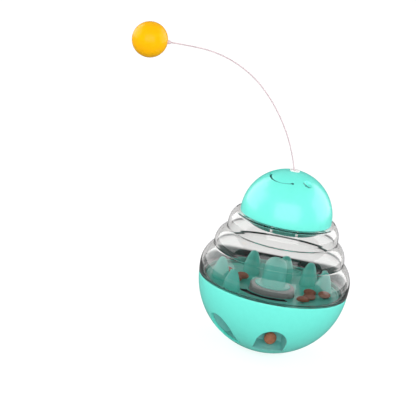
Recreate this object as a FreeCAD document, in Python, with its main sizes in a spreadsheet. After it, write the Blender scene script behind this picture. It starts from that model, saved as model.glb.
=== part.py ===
"""Wobbling treat ball for a cat: weighted bowl, clear tiered dome, lift-off cap and a ball on a spring wire.

Millimetres, +Z up. The origin is the centre of the small flat foot that the ball stands on. The cat plays
from the front, -Y, where the first of two outlets is. The wire leans over towards -X.
"""
import FreeCAD, Part
import math
import os
import re
from typing import NamedTuple

import Sketcher

# Driving dimensions, each written once. Lengths in millimetres, angles in degrees.
SIZES = {
    # Bowl
    "bowl_radius": 65.0,
    "foot_radius": 9.0,
    "bowl_wall": 2.4,
    "rim_drop": 4.06,
    "rim_wall": 3.17,
    "bore_depth": 9.3,
    "ledge_width": 2.3,
    "lip_height": 1.6,
    "groove_height": 2.2,
    "groove_depth": 1.2,
    "slot_width": 15.0,
    "boss_radius": 3.4,
    "tray_boss_radius": 3.6,
    "tray_boss_margin": 7.0,
    "tray_pad_height": 1.0,
    "pilot_radius": 1.1,
    "pilot_depth": 11.0,
    # Ballast and its cup
    "ballast_radius": 14.0,
    "ballast_chamfer": 1.0,
    "cup_clearance": 0.3,
    "cup_wall": 1.9,
    "cup_floor": 3.4,
    "cover_thick": 2.0,
    "cover_lip": 1.2,
    "cover_screw_offset": 3.0,
    "cover_screw_angle": 80.0,
    # Outlets and the duct behind them
    "front_azimuth": -82.5,
    "side_azimuth": -139.0,
    "outlet_radius": 13.2,
    "outlet_drop": 4.9,
    "outlet_sill": 11.4,
    "ramp_slope": 10.0,
    "duct_wall": 2.0,
    "duct_gap": 0.4,
    "duct_end_angle": 4.0,
    "duct_clearance": 0.3,
    # Tray
    "tray_clearance": 0.3,
    "tray_flange": 1.0,
    "tray_thick": 2.0,
    "tray_wall": 1.8,
    "tray_recess": 2.0,
    "head_clearance": 0.6,
    "tray_step": 2.9,
    "tray_wall_height": 7.4,
    "tray_floor_lift": 0.99,
    "tray_floor_rise": 5.3,
    "tray_flat_margin": 0.6,
    "drop_margin": 2.2,
    "drop_width": 8.6,
    "drop_angle": 100.0,
    "pillar_margin": 3.25,
    "pillar_radius": 7.75,
    "pillar_tip": 2.9,
    "pillar_tip_height": 1.4,
    "pillar_height": 19.9,
    "pillar_bend": 45.0,
    "pillar_wall": 1.6,
    # Metering rotor and its knob
    "rotor_radius": 19.5,
    "rotor_clearance": 0.7,
    "rotor_rise": 6.2,
    "rotor_thick": 2.1,
    "rotor_wall": 1.8,
    "rotor_chamfer": 0.6,
    "shutter_overlap": 1.0,
    "shutter_end_angle": 2.0,
    "shutter_thick": 1.7,
    "shutter_gap": 0.3,
    "shutter_turn_angle": 105.0,
    "pivot_radius": 4.0,
    "pivot_clearance": 0.05,
    "socket_drop": 1.8,
    "pivot_wall": 2.15,
    "pivot_gap": 0.2,
    "pivot_rise": 11.2,
    "knob_flange": 15.5,
    "knob_flange_thick": 1.3,
    "knob_foot": 10.8,
    "knob_shoulder": 9.5,
    "knob_height": 25.4,
    "knob_round_height": 8.6,
    "knob_round": 9.0,
    "knob_top": 1.4,
    "knob_wall": 1.8,
    "knob_crown": 3.8,
    "knob_boss": 3.5,
    # Clear dome, three tiers
    "dome_wall": 1.9,
    "dome_seat": 0.15,
    "low_tier_overhang": 0.4,
    "low_tier_height": 8.21,
    "low_tier_round": 24.61,
    "mid_tier_step": 8.7,
    "mid_tier_rise": 21.18,
    "mid_tier_round": 16.93,
    "top_tier_step": 8.73,
    "top_tier_rise": 19.18,
    "top_tier_round": 15.89,
    "dome_top_rise": 11.33,
    "dome_foot_height": 5.9,
    "skirt_clearance": 0.3,
    "skirt_wall": 1.8,
    "skirt_gap": 0.3,
    "lug_reach": 1.0,
    "lug_width": 12.0,
    "lug_height": 1.6,
    "lug_turn_angle": 25.0,
    "lug_start_angle": 30.0,
    "neck_land": 14.27,
    "neck_wall": 2.05,
    "neck_depth": 7.9,
    # Cap
    "cap_inset": 3.67,
    "cap_centre_rise": 1.84,
    "cap_wall": 2.2,
    "cap_gap": 0.1,
    "plug_seat": 4.6,
    "plug_bore": 3.55,
    "plug_boss": 6.3,
    "plug_boss_depth": 13.5,
    "cap_skirt_clearance": 0.25,
    "cap_skirt_wall": 1.8,
    "cap_skirt_depth": 9.0,
    "cap_slot": 3.0,
    "cap_slot_height": 6.7,
    "recess_radius": 16.6,
    "recess_offset": 6.7,
    "recess_azimuth": -127.0,
    "recess_shift": 2.2,
    "dimple_radius": 4.8,
    "dimple_depth": 2.6,
    "dimple_wall": 1.4,
    "dimple_azimuth": -51.3,
    "dimple_tilt_angle": 30.6,
    # Wand
    "plug_clearance": 0.05,
    "plug_seat_gap": 0.05,
    "plug_flange": 4.25,
    "plug_flange_thick": 1.0,
    "plug_barb": 3.9,
    "plug_barb_height": 1.6,
    "plug_chamfer": 0.25,
    "plug_lead": 0.4,
    "funnel_radius": 2.6,
    "funnel_depth": 3.2,
    "funnel_floor": 0.95,
    "wire_radius": 0.55,
    "wire_gap": 0.2,
    "wire_lean_angle": 15.0,
    "wire_root_length": 2.0,
    "wire_low_bend": 141.2,
    "wire_low_angle": 30.3,
    "wire_mid_bend": 90.9,
    "wire_mid_angle": 43.0,
    "wire_end_bend": 430.0,
    "wire_end_angle": 3.6,
    "wire_fit": 0.05,
    "wire_tail": 7.0,
    "toy_radius": 15.3,
    "toy_wall": 1.2,
    "toy_flat": 2.4,
    "collar_radius": 1.6,
    "collar_length": 3.0,
    "collar_round": 0.8,
    # Screws
    "screw_head": 2.8,
    "screw_head_height": 1.8,
    "screw_edge": 0.8,
    "screw_crown": 1.75,
    "screw_shank": 1.0,
    "screw_point": 0.3,
    "screw_hole": 1.35,
    "screw_length": 9.0,
    "knob_screw_length": 11.0,
    # Kibble
    "kibble_radius": 5.6,
    "kibble_half": 3.0,
    "kibble_gap": 0.1,
    "kibble_inner_row": 2.5,
    "kibble_outer_row": 14.5,
    "kibble_fallen_ring": 26.0,
    "kibble_fallen_azimuth": -77.2,
    # How far a cutting tool runs past the face that it opens
    "overcut": 1.0,
}

# Places and sizes that follow from the driving dimensions, in the order in which they are worked out.
PLACES = {
    "centre_z": "sqrt(bowl_radius^2 - foot_radius^2)",
    "rim_z": "centre_z - rim_drop",
    "rim_radius": "sqrt(bowl_radius^2 - rim_drop^2)",
    "bore_radius": "rim_radius - rim_wall",
    "inner_radius": "bowl_radius - bowl_wall",
    "ledge_z": "rim_z - bore_depth",
    "ledge_radius": "bore_radius - ledge_width",
    "groove_radius": "bore_radius + groove_depth",
    "cup_radius": "ballast_radius + cup_clearance",
    "cup_outer": "cup_radius + cup_wall",
    "cover_screw_ring": "cup_outer + cover_screw_offset",
    "duct_azimuth": "(front_azimuth + side_azimuth) / 2",
    "duct_back": "cup_outer + duct_gap + duct_wall",
    "outlet_height": "(ledge_z + cup_floor) / 2 - outlet_drop",
    "ramp_toe_z": "outlet_height - outlet_sill",
    "ramp_toe": "sqrt(bowl_radius^2 - (centre_z - ramp_toe_z)^2)",
    "tray_radius": "bore_radius - tray_clearance",
    "tray_wall_radius": "bore_radius - tray_step",
    "tray_wall_inner": "tray_wall_radius - tray_wall",
    "tray_floor_height": "ledge_z + tray_floor_lift",
    "tray_floor_top": "tray_floor_height + tray_floor_rise",
    "tray_hole": "rotor_radius + rotor_clearance",
    "drop_inner": "tray_hole + drop_margin",
    "drop_outer": "drop_inner + drop_width",
    "tray_flat_radius": "drop_outer + tray_flat_margin",
    "tray_boss_ring": "drop_outer + tray_boss_margin",
    "pillar_ring": "tray_wall_inner - pillar_radius - pillar_margin",
    "tray_slope": "tray_floor_rise / (tray_wall_inner - tray_flat_radius)",
    "ring_floor": "tray_floor_height + (pillar_ring - tray_flat_radius) * tray_slope",
    "pillar_peak": "ring_floor + pillar_height",
    "pillar_tip_bend": "(pillar_tip^2 + pillar_tip_height^2) / (2 * pillar_tip_height)",
    "boss_floor": "tray_floor_height + (tray_boss_ring - tray_flat_radius) * tray_slope",
    "tray_boss_top": "boss_floor - tray_thick - tray_pad_height",
    "tray_seat": "boss_floor - tray_recess",
    "shutter_top": "tray_floor_height - tray_thick - shutter_gap",
    "shutter_bottom": "shutter_top - shutter_thick",
    "shutter_radius": "drop_outer + shutter_overlap",
    "duct_top": "shutter_bottom - shutter_gap",
    "pivot_bore": "pivot_radius + pivot_clearance",
    "pivot_socket": "pivot_bore + pivot_wall",
    "socket_bottom": "shutter_bottom - socket_drop",
    "cover_top": "socket_bottom - pivot_rise",
    "cup_top": "cover_top - cover_thick",
    "ballast_top": "cup_top - cover_lip - cup_clearance",
    "rotor_height": "tray_floor_height + rotor_rise",
    "rotor_under": "rotor_height - rotor_thick",
    "pivot_top": "rotor_under - 2 * screw_head_height",
    "knob_top_z": "rotor_height + knob_height",
    "skirt_radius": "bore_radius - skirt_clearance",
    "skirt_bottom": "ledge_z + tray_flange + skirt_gap",
    "dome_bottom": "rim_z + dome_seat",
    "low_wall_radius": "bowl_radius + low_tier_overhang",
    "mid_wall_radius": "low_wall_radius - mid_tier_step",
    "top_wall_radius": "mid_wall_radius - top_tier_step",
    "low_tier_centre": "low_wall_radius - low_tier_round",
    "mid_tier_centre": "mid_wall_radius - mid_tier_round",
    "top_tier_centre": "top_wall_radius - top_tier_round",
    "low_z": "rim_z + low_tier_height",
    "mid_z": "low_z + mid_tier_rise",
    "top_z": "mid_z + top_tier_rise",
    "low_valley": "low_z + sqrt(low_tier_round^2 - (mid_wall_radius - low_tier_centre)^2)",
    "mid_valley": "mid_z + sqrt(mid_tier_round^2 - (top_wall_radius - mid_tier_centre)^2)",
    "low_inner_round": "low_tier_round - dome_wall",
    "mid_inner_round": "mid_tier_round - dome_wall",
    "top_inner_round": "top_tier_round - dome_wall",
    "mid_inner_radius": "mid_wall_radius - dome_wall",
    "top_inner_radius": "top_wall_radius - dome_wall",
    "low_inner_valley": "low_z + sqrt(low_inner_round^2 - (mid_inner_radius - low_tier_centre)^2)",
    "mid_inner_valley": "mid_z + sqrt(mid_inner_round^2 - (top_inner_radius - mid_tier_centre)^2)",
    "dome_top": "top_z + dome_top_rise",
    "shoulder_radius": "top_tier_centre + sqrt(top_tier_round^2 - (dome_top - top_z)^2)",
    "shoulder_under": "dome_top - dome_wall",
    "shoulder_inner": "top_tier_centre + sqrt(top_inner_round^2 - (shoulder_under - top_z)^2)",
    "neck_radius": "shoulder_radius - neck_land",
    "neck_outer": "neck_radius + neck_wall",
    "lug_z": "rim_z - lip_height - groove_height / 2 - lug_height / 2",
    "cap_bottom": "dome_top + cap_gap",
    "cap_centre": "cap_bottom + cap_centre_rise",
    "cap_rim": "shoulder_radius - cap_inset",
    "cap_radius": "sqrt(cap_rim^2 + cap_centre_rise^2)",
    "cap_inner": "cap_radius - cap_wall",
    "cap_rim_inner": "sqrt(cap_inner^2 - cap_centre_rise^2)",
    "seat_z": "cap_centre + sqrt(cap_radius^2 - plug_seat^2)",
    "boss_bottom": "seat_z - plug_boss_depth",
    "cap_skirt": "neck_radius - cap_skirt_clearance",
    "cap_skirt_bore": "cap_skirt - cap_skirt_wall",
    "cap_skirt_end": "cap_bottom - cap_skirt_depth",
    "plug_bottom": "seat_z + plug_seat_gap",
    "plug_top": "plug_bottom + plug_flange_thick",
    "plug_stem": "plug_bore - plug_clearance",
    "barb_top": "boss_bottom - wire_gap",
    "funnel_z": "plug_top - funnel_depth",
    "wire_root": "funnel_z + wire_gap",
    "wire_bore": "wire_radius + wire_fit",
}

TRAY_SCREW_AZIMUTHS = (-45.0, 97.0, 190.0)
PILLAR_AZIMUTHS = (17.0, 47.0, 78.0, 115.0, 178.0, 220.0)
# Azimuths of the kibble on the tray, in a row by the drop opening's edge and a row further out.
KIBBLE_AZIMUTHS = {"kibble_inner_row": (-36.0, -12.0, 9.0, 142.7, 165.0), "kibble_outer_row": (-3.0, 153.4)}

document = FreeCAD.newDocument("treat_ball")
dims = document.addObject("Spreadsheet::Sheet", "dims")
places = document.addObject("Spreadsheet::Sheet", "places")


def bind(text):
    """Turn plain names into references to the two sheets."""
    def reference(match):
        name = match.group()
        if name in SIZES:
            return "dims." + name
        if name in PLACES:
            return "places." + name
        return name
    return re.sub(r"[a-z_][a-z0-9_]*", reference, text)


def fill_sheets():
    """Write the driving dimensions and the places that follow from them."""
    for row, (alias, number) in enumerate(SIZES.items(), start=1):
        dims.set(f"A{row}", alias)
        dims.set(f"B{row}", str(number))
        dims.setAlias(f"B{row}", alias)
    document.recompute()
    for row, (alias, formula) in enumerate(PLACES.items(), start=1):
        places.set(f"A{row}", alias)
        places.setAlias(f"B{row}", alias)
        # A cell names its own sheet's cells without the sheet.
        places.set(f"B{row}", "=" + bind(formula).replace("places.", ""))
    document.recompute()


def value(text):
    """The number that an expression has now."""
    return float(dims.evalExpression(bind(text)))


class Corner(NamedTuple):
    """A corner of an outline, and how the edge that leaves it runs: straight, or an arc that turns."""
    across: str
    up: str
    bend: str = ""
    turn: str = "left"


def arc_through(start, end, radius, turn):
    """The arc of a given radius from start to end, less than half a turn."""
    chord = end - start
    side = FreeCAD.Vector(-chord.y, chord.x, 0).normalize()
    if turn == "right":
        side = side * -1
    sagitta_side = math.sqrt(max(radius ** 2 - (chord.Length / 2) ** 2, 0.0))
    centre = (start + end) * 0.5 + side * sagitta_side
    first, last = (start, end) if turn == "left" else (end, start)
    angles = [math.atan2(point.y - centre.y, point.x - centre.x) for point in (first, last)]
    circle = Part.Circle(centre, FreeCAD.Vector(0, 0, 1), radius)
    return Part.ArcOfCircle(circle, angles[0], angles[1])


def pin_corner(sketch, edge, end, corner):
    """Hold a corner at its place, through the sheets where it isn't on an axis."""
    for direction, text, axis in (("DistanceX", corner.across, -2), ("DistanceY", corner.up, -1)):
        if text == "0":
            sketch.addConstraint(Sketcher.Constraint("PointOnObject", edge, end, axis))
        else:
            index = sketch.addConstraint(Sketcher.Constraint(direction, edge, end, value(text)))
            sketch.setExpression(f"Constraints[{index}]", bind(text))


def outline_sketch(body, name, corners, plane="XZ_Plane"):
    """A closed, fully held outline on one of the body's own planes."""
    sketch = body.newObject("Sketcher::SketchObject", name)
    support = next(item for item in body.Origin.OriginFeatures if item.Role == plane)
    sketch.AttachmentSupport = (support, [""])
    sketch.MapMode = "FlatFace"
    points = [FreeCAD.Vector(value(corner.across), value(corner.up), 0) for corner in corners]
    ends = []
    for index, corner in enumerate(corners):
        start, end = points[index], points[(index + 1) % len(points)]
        if corner.bend:
            sketch.addGeometry(arc_through(start, end, value(corner.bend), corner.turn))
            ends.append((1, 2) if corner.turn == "left" else (2, 1))
        else:
            sketch.addGeometry(Part.LineSegment(start, end))
            ends.append((1, 2))
    for index, corner in enumerate(corners):
        after = (index + 1) % len(corners)
        sketch.addConstraint(Sketcher.Constraint("Coincident", index, ends[index][1], after, ends[after][0]))
        pin_corner(sketch, index, ends[index][0], corner)
        if corner.bend:
            held = sketch.addConstraint(Sketcher.Constraint("Radius", index, value(corner.bend)))
            sketch.setExpression(f"Constraints[{held}]", bind(corner.bend))
    return sketch


def turned_body(name, corners):
    """A piece turned about its own Z axis from an outline."""
    body = document.addObject("PartDesign::Body", name)
    sketch = outline_sketch(body, name + "_outline", corners)
    turning = body.newObject("PartDesign::Revolution", name + "_turning")
    turning.Profile = sketch
    turning.ReferenceAxis = (sketch, ["V_Axis"])
    turning.Angle = 360.0
    body.Tip = turning
    return body


def place(piece, radius="0", azimuth="0", height="0"):
    """Stand a piece at a distance and azimuth from the axis, turned to face that azimuth."""
    piece.Placement.Rotation = FreeCAD.Rotation(FreeCAD.Vector(0, 0, 1), value(azimuth))
    piece.setExpression("Placement.Base.x", bind(f"({radius}) * cos({azimuth})"))
    piece.setExpression("Placement.Base.y", bind(f"({radius}) * sin({azimuth})"))
    piece.setExpression("Placement.Base.z", bind(height))
    return piece


def rod(name, radius, bottom, top, ring="0", azimuth="0"):
    """An upright cylinder between two heights."""
    piece = document.addObject("Part::Cylinder", name)
    piece.setExpression("Radius", bind(radius))
    piece.setExpression("Height", bind(f"({top}) - ({bottom})"))
    return place(piece, ring, azimuth, bottom)


def sector(name, inner, outer, bottom, top, span, azimuth):
    """A slice of a ring between two heights, centred on an azimuth."""
    slice_ = rod(name + "_slice", outer, bottom, top)
    slice_.setExpression("Angle", bind(span))
    first = value(f"{azimuth} - ({span}) / 2")
    slice_.Placement.Rotation = FreeCAD.Rotation(FreeCAD.Vector(0, 0, 1), first)
    core = rod(name + "_core", inner, f"({bottom}) - overcut", f"({top}) + overcut")
    return cut(name, slice_, core)


def ball(name, radius, height, x="0", y="0"):
    """A full sphere."""
    piece = document.addObject("Part::Sphere", name)
    piece.setExpression("Radius", bind(radius))
    piece.setExpression("Placement.Base.x", bind(x))
    piece.setExpression("Placement.Base.y", bind(y))
    piece.setExpression("Placement.Base.z", bind(height))
    return piece


def block(name, length, width, height, x, y, z):
    """A box that is centred across its width."""
    piece = document.addObject("Part::Box", name)
    piece.setExpression("Length", bind(length))
    piece.setExpression("Width", bind(width))
    piece.setExpression("Height", bind(height))
    piece.setExpression("Placement.Base.x", bind(x))
    piece.setExpression("Placement.Base.y", bind(y))
    piece.setExpression("Placement.Base.z", bind(z))
    return piece


def fuse(name, pieces):
    """Join pieces into one."""
    joined = document.addObject("Part::MultiFuse", name)
    joined.Shapes = pieces
    joined.Refine = True
    return joined


def cut(name, base, tool):
    """Take one shape out of another."""
    result = document.addObject("Part::Cut", name)
    result.Base = base
    result.Tool = tool
    result.Refine = True
    return result


def common(name, base, tool):
    """Keep what two shapes share."""
    result = document.addObject("Part::Common", name)
    result.Base = base
    result.Tool = tool
    return result


def group(name, pieces):
    """Like pieces that stay separate solids."""
    result = document.addObject("Part::Compound", name)
    result.Links = pieces
    return result


def screw(name, length, under_head, ring="0", azimuth="0"):
    """A pan-head screw with a plain shank, standing with its head's underside at a height."""
    piece = turned_body(name, [
        Corner("0", f"-({length})"),
        Corner("screw_point", f"-({length})"),
        Corner("screw_shank", f"screw_shank - ({length})"),
        Corner("screw_shank", "0"),
        Corner("screw_head", "0"),
        Corner("screw_head", "screw_edge"),
        Corner("screw_crown", "screw_head_height"),
        Corner("0", "screw_head_height"),
    ])
    return place(piece, ring, azimuth, under_head)


def cover_azimuth(index):
    """The three ballast-cover screws stand on the side away from the duct."""
    return f"duct_azimuth + 180 + ({index - 1}) * cover_screw_angle"


def lie_outwards(piece, azimuth, start, height):
    """Lay a piece's own Z axis along an azimuth, from a distance off the axis."""
    turn = FreeCAD.Rotation(FreeCAD.Vector(0, 0, 1), value(azimuth))
    piece.Placement.Rotation = turn.multiply(FreeCAD.Rotation(FreeCAD.Vector(0, 1, 0), 90))
    piece.setExpression("Placement.Base.x", bind(f"({start}) * cos({azimuth})"))
    piece.setExpression("Placement.Base.y", bind(f"({start}) * sin({azimuth})"))
    piece.setExpression("Placement.Base.z", bind(height))


def channel(name, azimuth, wall="0"):
    """An outlet's space, or its outside a wall further out: an arched tunnel over a falling ramp."""
    tunnel = document.addObject("Part::Cylinder", name + "_tunnel")
    tunnel.setExpression("Radius", bind(f"outlet_radius + {wall}"))
    tunnel.setExpression("Height", bind("bowl_radius"))
    lie_outwards(tunnel, azimuth, f"duct_back - {wall}", "outlet_height")
    across = f"2 * (outlet_radius + {wall})"
    sides = block(name + "_sides", "bowl_radius", across, "outlet_height", "0", "0", "0")
    turn_about_axis(sides, f"duct_back - {wall}", across, azimuth)
    ramp = block(name + "_ramp", "3 * bowl_radius", "3 * outlet_radius", "bowl_radius", "0", "0", "0")
    turn = FreeCAD.Rotation(FreeCAD.Vector(0, 0, 1), value(azimuth))
    ramp.Placement.Rotation = turn.multiply(FreeCAD.Rotation(FreeCAD.Vector(0, 1, 0), value("ramp_slope")))
    back = "(ramp_toe - bowl_radius * cos(ramp_slope) - bowl_radius * sin(ramp_slope))"
    aside = "(1.5 * outlet_radius)"
    ramp.setExpression("Placement.Base.x", bind(f"{back} * cos({azimuth}) + {aside} * sin({azimuth})"))
    ramp.setExpression("Placement.Base.y", bind(f"{back} * sin({azimuth}) - {aside} * cos({azimuth})"))
    ramp.setExpression("Placement.Base.z", bind(
        "ramp_toe_z + bowl_radius * sin(ramp_slope) - bowl_radius * cos(ramp_slope)"
        f" - ({wall}) / cos(ramp_slope)"))
    return cut(name, fuse(name + "_arch", [tunnel, sides]), ramp)


def outlet_channels(prefix, wall="0"):
    """Both outlets' spaces, or their outsides."""
    return [channel(f"{prefix}_{side}", f"{side}_azimuth", wall) for side in ("front", "side")]


def base_bowl():
    """Half-ball bowl with ballast cup, screw bosses, tray ledge, bayonet groove and two outlets."""
    hull = turned_body("bowl_hull", [
        Corner("0", "0"),
        Corner("foot_radius", "0", "bowl_radius"),
        Corner("rim_radius", "rim_z"),
        Corner("bore_radius", "rim_z"),
        Corner("bore_radius", "rim_z - lip_height"),
        Corner("groove_radius", "rim_z - lip_height"),
        Corner("groove_radius", "rim_z - lip_height - groove_height"),
        Corner("bore_radius", "rim_z - lip_height - groove_height"),
        Corner("bore_radius", "ledge_z"),
        Corner("ledge_radius", "ledge_z"),
        Corner("ledge_radius", "centre_z - sqrt(inner_radius^2 - ledge_radius^2)", "inner_radius", "right"),
        Corner("cup_outer", "centre_z - sqrt(inner_radius^2 - cup_outer^2)"),
        Corner("cup_outer", "cup_top"),
        Corner("cup_radius", "cup_top"),
        Corner("cup_radius", "cup_floor"),
        Corner("0", "cup_floor"),
    ])
    posts = []
    pilots = []
    for index in range(3):
        spot = ("cover_screw_ring", cover_azimuth(index))
        posts.append(rod(f"cover_boss_{index}", "boss_radius", "0", "cup_top", *spot))
        pilots.append(rod(f"cover_pilot_{index}", "pilot_radius", "cup_top - pilot_depth",
                          "cup_top + overcut", *spot))
    for index, azimuth in enumerate(TRAY_SCREW_AZIMUTHS):
        spot = ("tray_boss_ring", str(azimuth))
        posts.append(rod(f"tray_boss_{index}", "tray_boss_radius", "0", "tray_boss_top", *spot))
        pilots.append(rod(f"tray_pilot_{index}", "pilot_radius", "tray_boss_top - pilot_depth",
                          "tray_boss_top + overcut", *spot))
    inside = ball("boss_limit", "bowl_radius - bowl_wall / 2", "centre_z")
    cup_room = rod("ballast_room", "cup_radius", "cup_floor", "cup_top + overcut")
    bosses = cut("bosses", common("boss_feet", fuse("boss_posts", posts), inside), cup_room)
    slots = []
    for index in range(3):
        slot = block(f"lug_slot_{index}", "groove_depth + ledge_width", "slot_width",
                     "lip_height + groove_height / 2 + overcut", "0", "0",
                     "rim_z - lip_height - groove_height / 2")
        turn_about_axis(slot, "groove_radius - groove_depth - ledge_width", "slot_width",
                        f"{lug_azimuth(index)} + lug_turn_angle")
        slots.append(slot)
    tools = fuse("bowl_tools", pilots + slots + outlet_channels("bowl_outlet"))
    return cut("base_bowl", fuse("bowl_with_bosses", [hull, bosses]), tools)


def lug_azimuth(index):
    """Three bayonet lugs, evenly spaced."""
    return f"lug_start_angle + {index} * 360 / 3"


def turn_about_axis(piece, inner, width, azimuth):
    """Swing a box, which starts at a distance from the axis, round to an azimuth."""
    piece.Placement.Rotation = FreeCAD.Rotation(FreeCAD.Vector(0, 0, 1), value(azimuth))
    aside = f"({width}) / 2"
    piece.setExpression("Placement.Base.x", bind(f"({inner}) * cos({azimuth}) + {aside} * sin({azimuth})"))
    piece.setExpression("Placement.Base.y", bind(f"({inner}) * sin({azimuth}) - {aside} * cos({azimuth})"))


def treat_duct():
    """Duct that takes kibble from the drop opening down to both outlets."""
    shaft = sector("shaft_outside", "drop_inner - duct_wall", "drop_outer + duct_wall", "outlet_height",
                   "duct_top", "drop_angle + 2 * duct_end_angle", "duct_azimuth")
    outside = fuse("duct_outside", outlet_channels("duct_sleeve", "duct_wall") + [shaft])
    limit = ball("duct_limit", "inner_radius - duct_clearance", "centre_z")
    walls = common("duct_walls", outside, limit)
    hollow = sector("shaft_inside", "drop_inner", "drop_outer", "outlet_height", "duct_top + overcut",
                    "drop_angle", "duct_azimuth")
    return cut("treat_duct", walls, fuse("duct_tools", [hollow] + outlet_channels("duct_outlet")))


def ballast():
    """Turned iron slug that keeps the ball upright."""
    return turned_body("ballast", [
        Corner("0", "cup_floor"),
        Corner("ballast_radius - ballast_chamfer", "cup_floor"),
        Corner("ballast_radius", "cup_floor + ballast_chamfer"),
        Corner("ballast_radius", "ballast_top - ballast_chamfer"),
        Corner("ballast_radius - ballast_chamfer", "ballast_top"),
        Corner("0", "ballast_top"),
    ])


def ballast_cover():
    """Lid over the ballast cup, with three ears and the rotor's pivot post."""
    lid = turned_body("cover_lid", [
        Corner("0", "ballast_top + cup_clearance"),
        Corner("ballast_radius", "ballast_top + cup_clearance"),
        Corner("ballast_radius", "cup_top"),
        Corner("cup_outer", "cup_top"),
        Corner("cup_outer", "cover_top"),
        Corner("pivot_socket", "cover_top"),
        Corner("pivot_socket", "socket_bottom - pivot_gap"),
        Corner("pivot_radius", "socket_bottom - pivot_gap"),
        Corner("pivot_radius", "pivot_top"),
        Corner("0", "pivot_top"),
    ])
    ears = []
    holes = []
    for index in range(3):
        azimuth = cover_azimuth(index)
        ears.append(rod(f"cover_ear_{index}", "boss_radius", "cup_top", "cover_top",
                        "cover_screw_ring", azimuth))
        web = block(f"cover_web_{index}", "cover_screw_ring - ballast_radius", "2 * boss_radius",
                    "cover_thick", "0", "0", "cup_top")
        turn_about_axis(web, "ballast_radius", "2 * boss_radius", azimuth)
        ears.append(web)
        holes.append(rod(f"cover_hole_{index}", "screw_hole", "cup_top - overcut", "cover_top + overcut",
                         "cover_screw_ring", azimuth))
    return cut("ballast_cover", fuse("cover_with_ears", [lid] + ears), fuse("cover_holes", holes))


def ballast_screws():
    """Three screws that hold the ballast cover down."""
    return group("ballast_screws", [screw(f"cover_screw_{index}", "screw_length", "cover_top",
                                        "cover_screw_ring", cover_azimuth(index)) for index in range(3)])


def pillar_outline():
    """Outline of a bullet-shaped pillar with a rounded tip."""
    return [
        Corner("0", "ring_floor - tray_thick"),
        Corner("pillar_radius", "ring_floor - tray_thick"),
        Corner("pillar_radius", "ring_floor", "pillar_bend"),
        Corner("pillar_tip", "pillar_peak - pillar_tip_height", "pillar_tip_bend"),
        Corner("0", "pillar_peak"),
    ]


def hollow_outline():
    """Outline of the space under a pillar, an even wall inside it."""
    return [
        Corner("0", "ring_floor - 2 * tray_thick"),
        Corner("pillar_radius - pillar_wall", "ring_floor - 2 * tray_thick"),
        Corner("pillar_radius - pillar_wall", "ring_floor", "pillar_bend - pillar_wall"),
        Corner("pillar_tip - pillar_wall / 2", "pillar_peak - pillar_tip_height - pillar_wall"),
        Corner("0", "pillar_peak - pillar_tip_height - pillar_wall"),
    ]


def feeder_tray():
    """Dished tray with a centre hole, a kidney-shaped drop opening and hollow bullet-shaped pillars."""
    pan = turned_body("tray_pan", [
        Corner("tray_hole", "tray_floor_height - tray_thick"),
        Corner("tray_flat_radius", "tray_floor_height - tray_thick"),
        Corner("tray_wall_inner", "tray_floor_top - tray_thick"),
        Corner("tray_wall_inner", "ledge_z"),
        Corner("tray_radius", "ledge_z"),
        Corner("tray_radius", "ledge_z + tray_flange"),
        Corner("tray_wall_radius", "ledge_z + tray_flange"),
        Corner("tray_wall_radius", "ledge_z + tray_wall_height"),
        Corner("tray_wall_inner", "ledge_z + tray_wall_height"),
        Corner("tray_wall_inner", "tray_floor_top"),
        Corner("tray_flat_radius", "tray_floor_height"),
        Corner("tray_hole", "tray_floor_height"),
    ])
    stands = []
    spaces = []
    for index, azimuth in enumerate(PILLAR_AZIMUTHS):
        pillar = turned_body(f"pillar_{index}", pillar_outline())
        hollow = turned_body(f"pillar_hollow_{index}", hollow_outline())
        stands.append(place(pillar, "pillar_ring", str(azimuth)))
        spaces.append(place(hollow, "pillar_ring", str(azimuth)))
    for index, azimuth in enumerate(TRAY_SCREW_AZIMUTHS):
        spot = ("tray_boss_ring", str(azimuth))
        stands.append(rod(f"tray_pad_{index}", "tray_boss_radius", "tray_boss_top", "tray_seat", *spot))
        spaces.append(rod(f"tray_hole_{index}", "screw_hole", "tray_boss_top - overcut",
                          "tray_seat + overcut", *spot))
        spaces.append(rod(f"tray_seat_{index}", "screw_head + head_clearance", "tray_seat",
                          "tray_floor_top + overcut", *spot))
    drop = sector("drop_opening", "drop_inner", "drop_outer", "tray_floor_height - 2 * tray_thick",
                  "tray_floor_height + tray_thick", "drop_angle", "duct_azimuth")
    return cut("feeder_tray", fuse("tray_with_pillars", [pan] + stands), fuse("tray_tools", spaces + [drop]))


def tray_screws():
    """Three screws that hold the tray to the bowl."""
    return group("tray_screws", [screw(f"tray_screw_{index}", "screw_length", "tray_seat", "tray_boss_ring",
                                       str(azimuth)) for index, azimuth in enumerate(TRAY_SCREW_AZIMUTHS)])


def metering_rotor():
    """Dark hub whose fan-shaped shutter opens and closes the drop opening from below."""
    hub = turned_body("rotor_hub", [
        Corner("screw_hole", "rotor_under"),
        Corner("pivot_bore", "rotor_under"),
        Corner("pivot_bore", "socket_bottom"),
        Corner("pivot_socket", "socket_bottom"),
        Corner("pivot_socket", "rotor_under"),
        Corner("rotor_radius - rotor_wall", "rotor_under"),
        Corner("rotor_radius - rotor_wall", "shutter_bottom"),
        Corner("shutter_radius", "shutter_bottom"),
        Corner("shutter_radius", "shutter_top"),
        Corner("rotor_radius", "shutter_top"),
        Corner("rotor_radius", "rotor_height - rotor_chamfer"),
        Corner("rotor_radius - rotor_chamfer", "rotor_height"),
        Corner("screw_hole", "rotor_height"),
    ])
    window = sector("shutter_window", "rotor_radius + overcut", "shutter_radius + overcut",
                    "shutter_bottom - overcut", "shutter_top + overcut",
                    "drop_angle + 2 * shutter_end_angle", "duct_azimuth - shutter_turn_angle")
    return cut("metering_rotor", hub, window)


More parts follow.
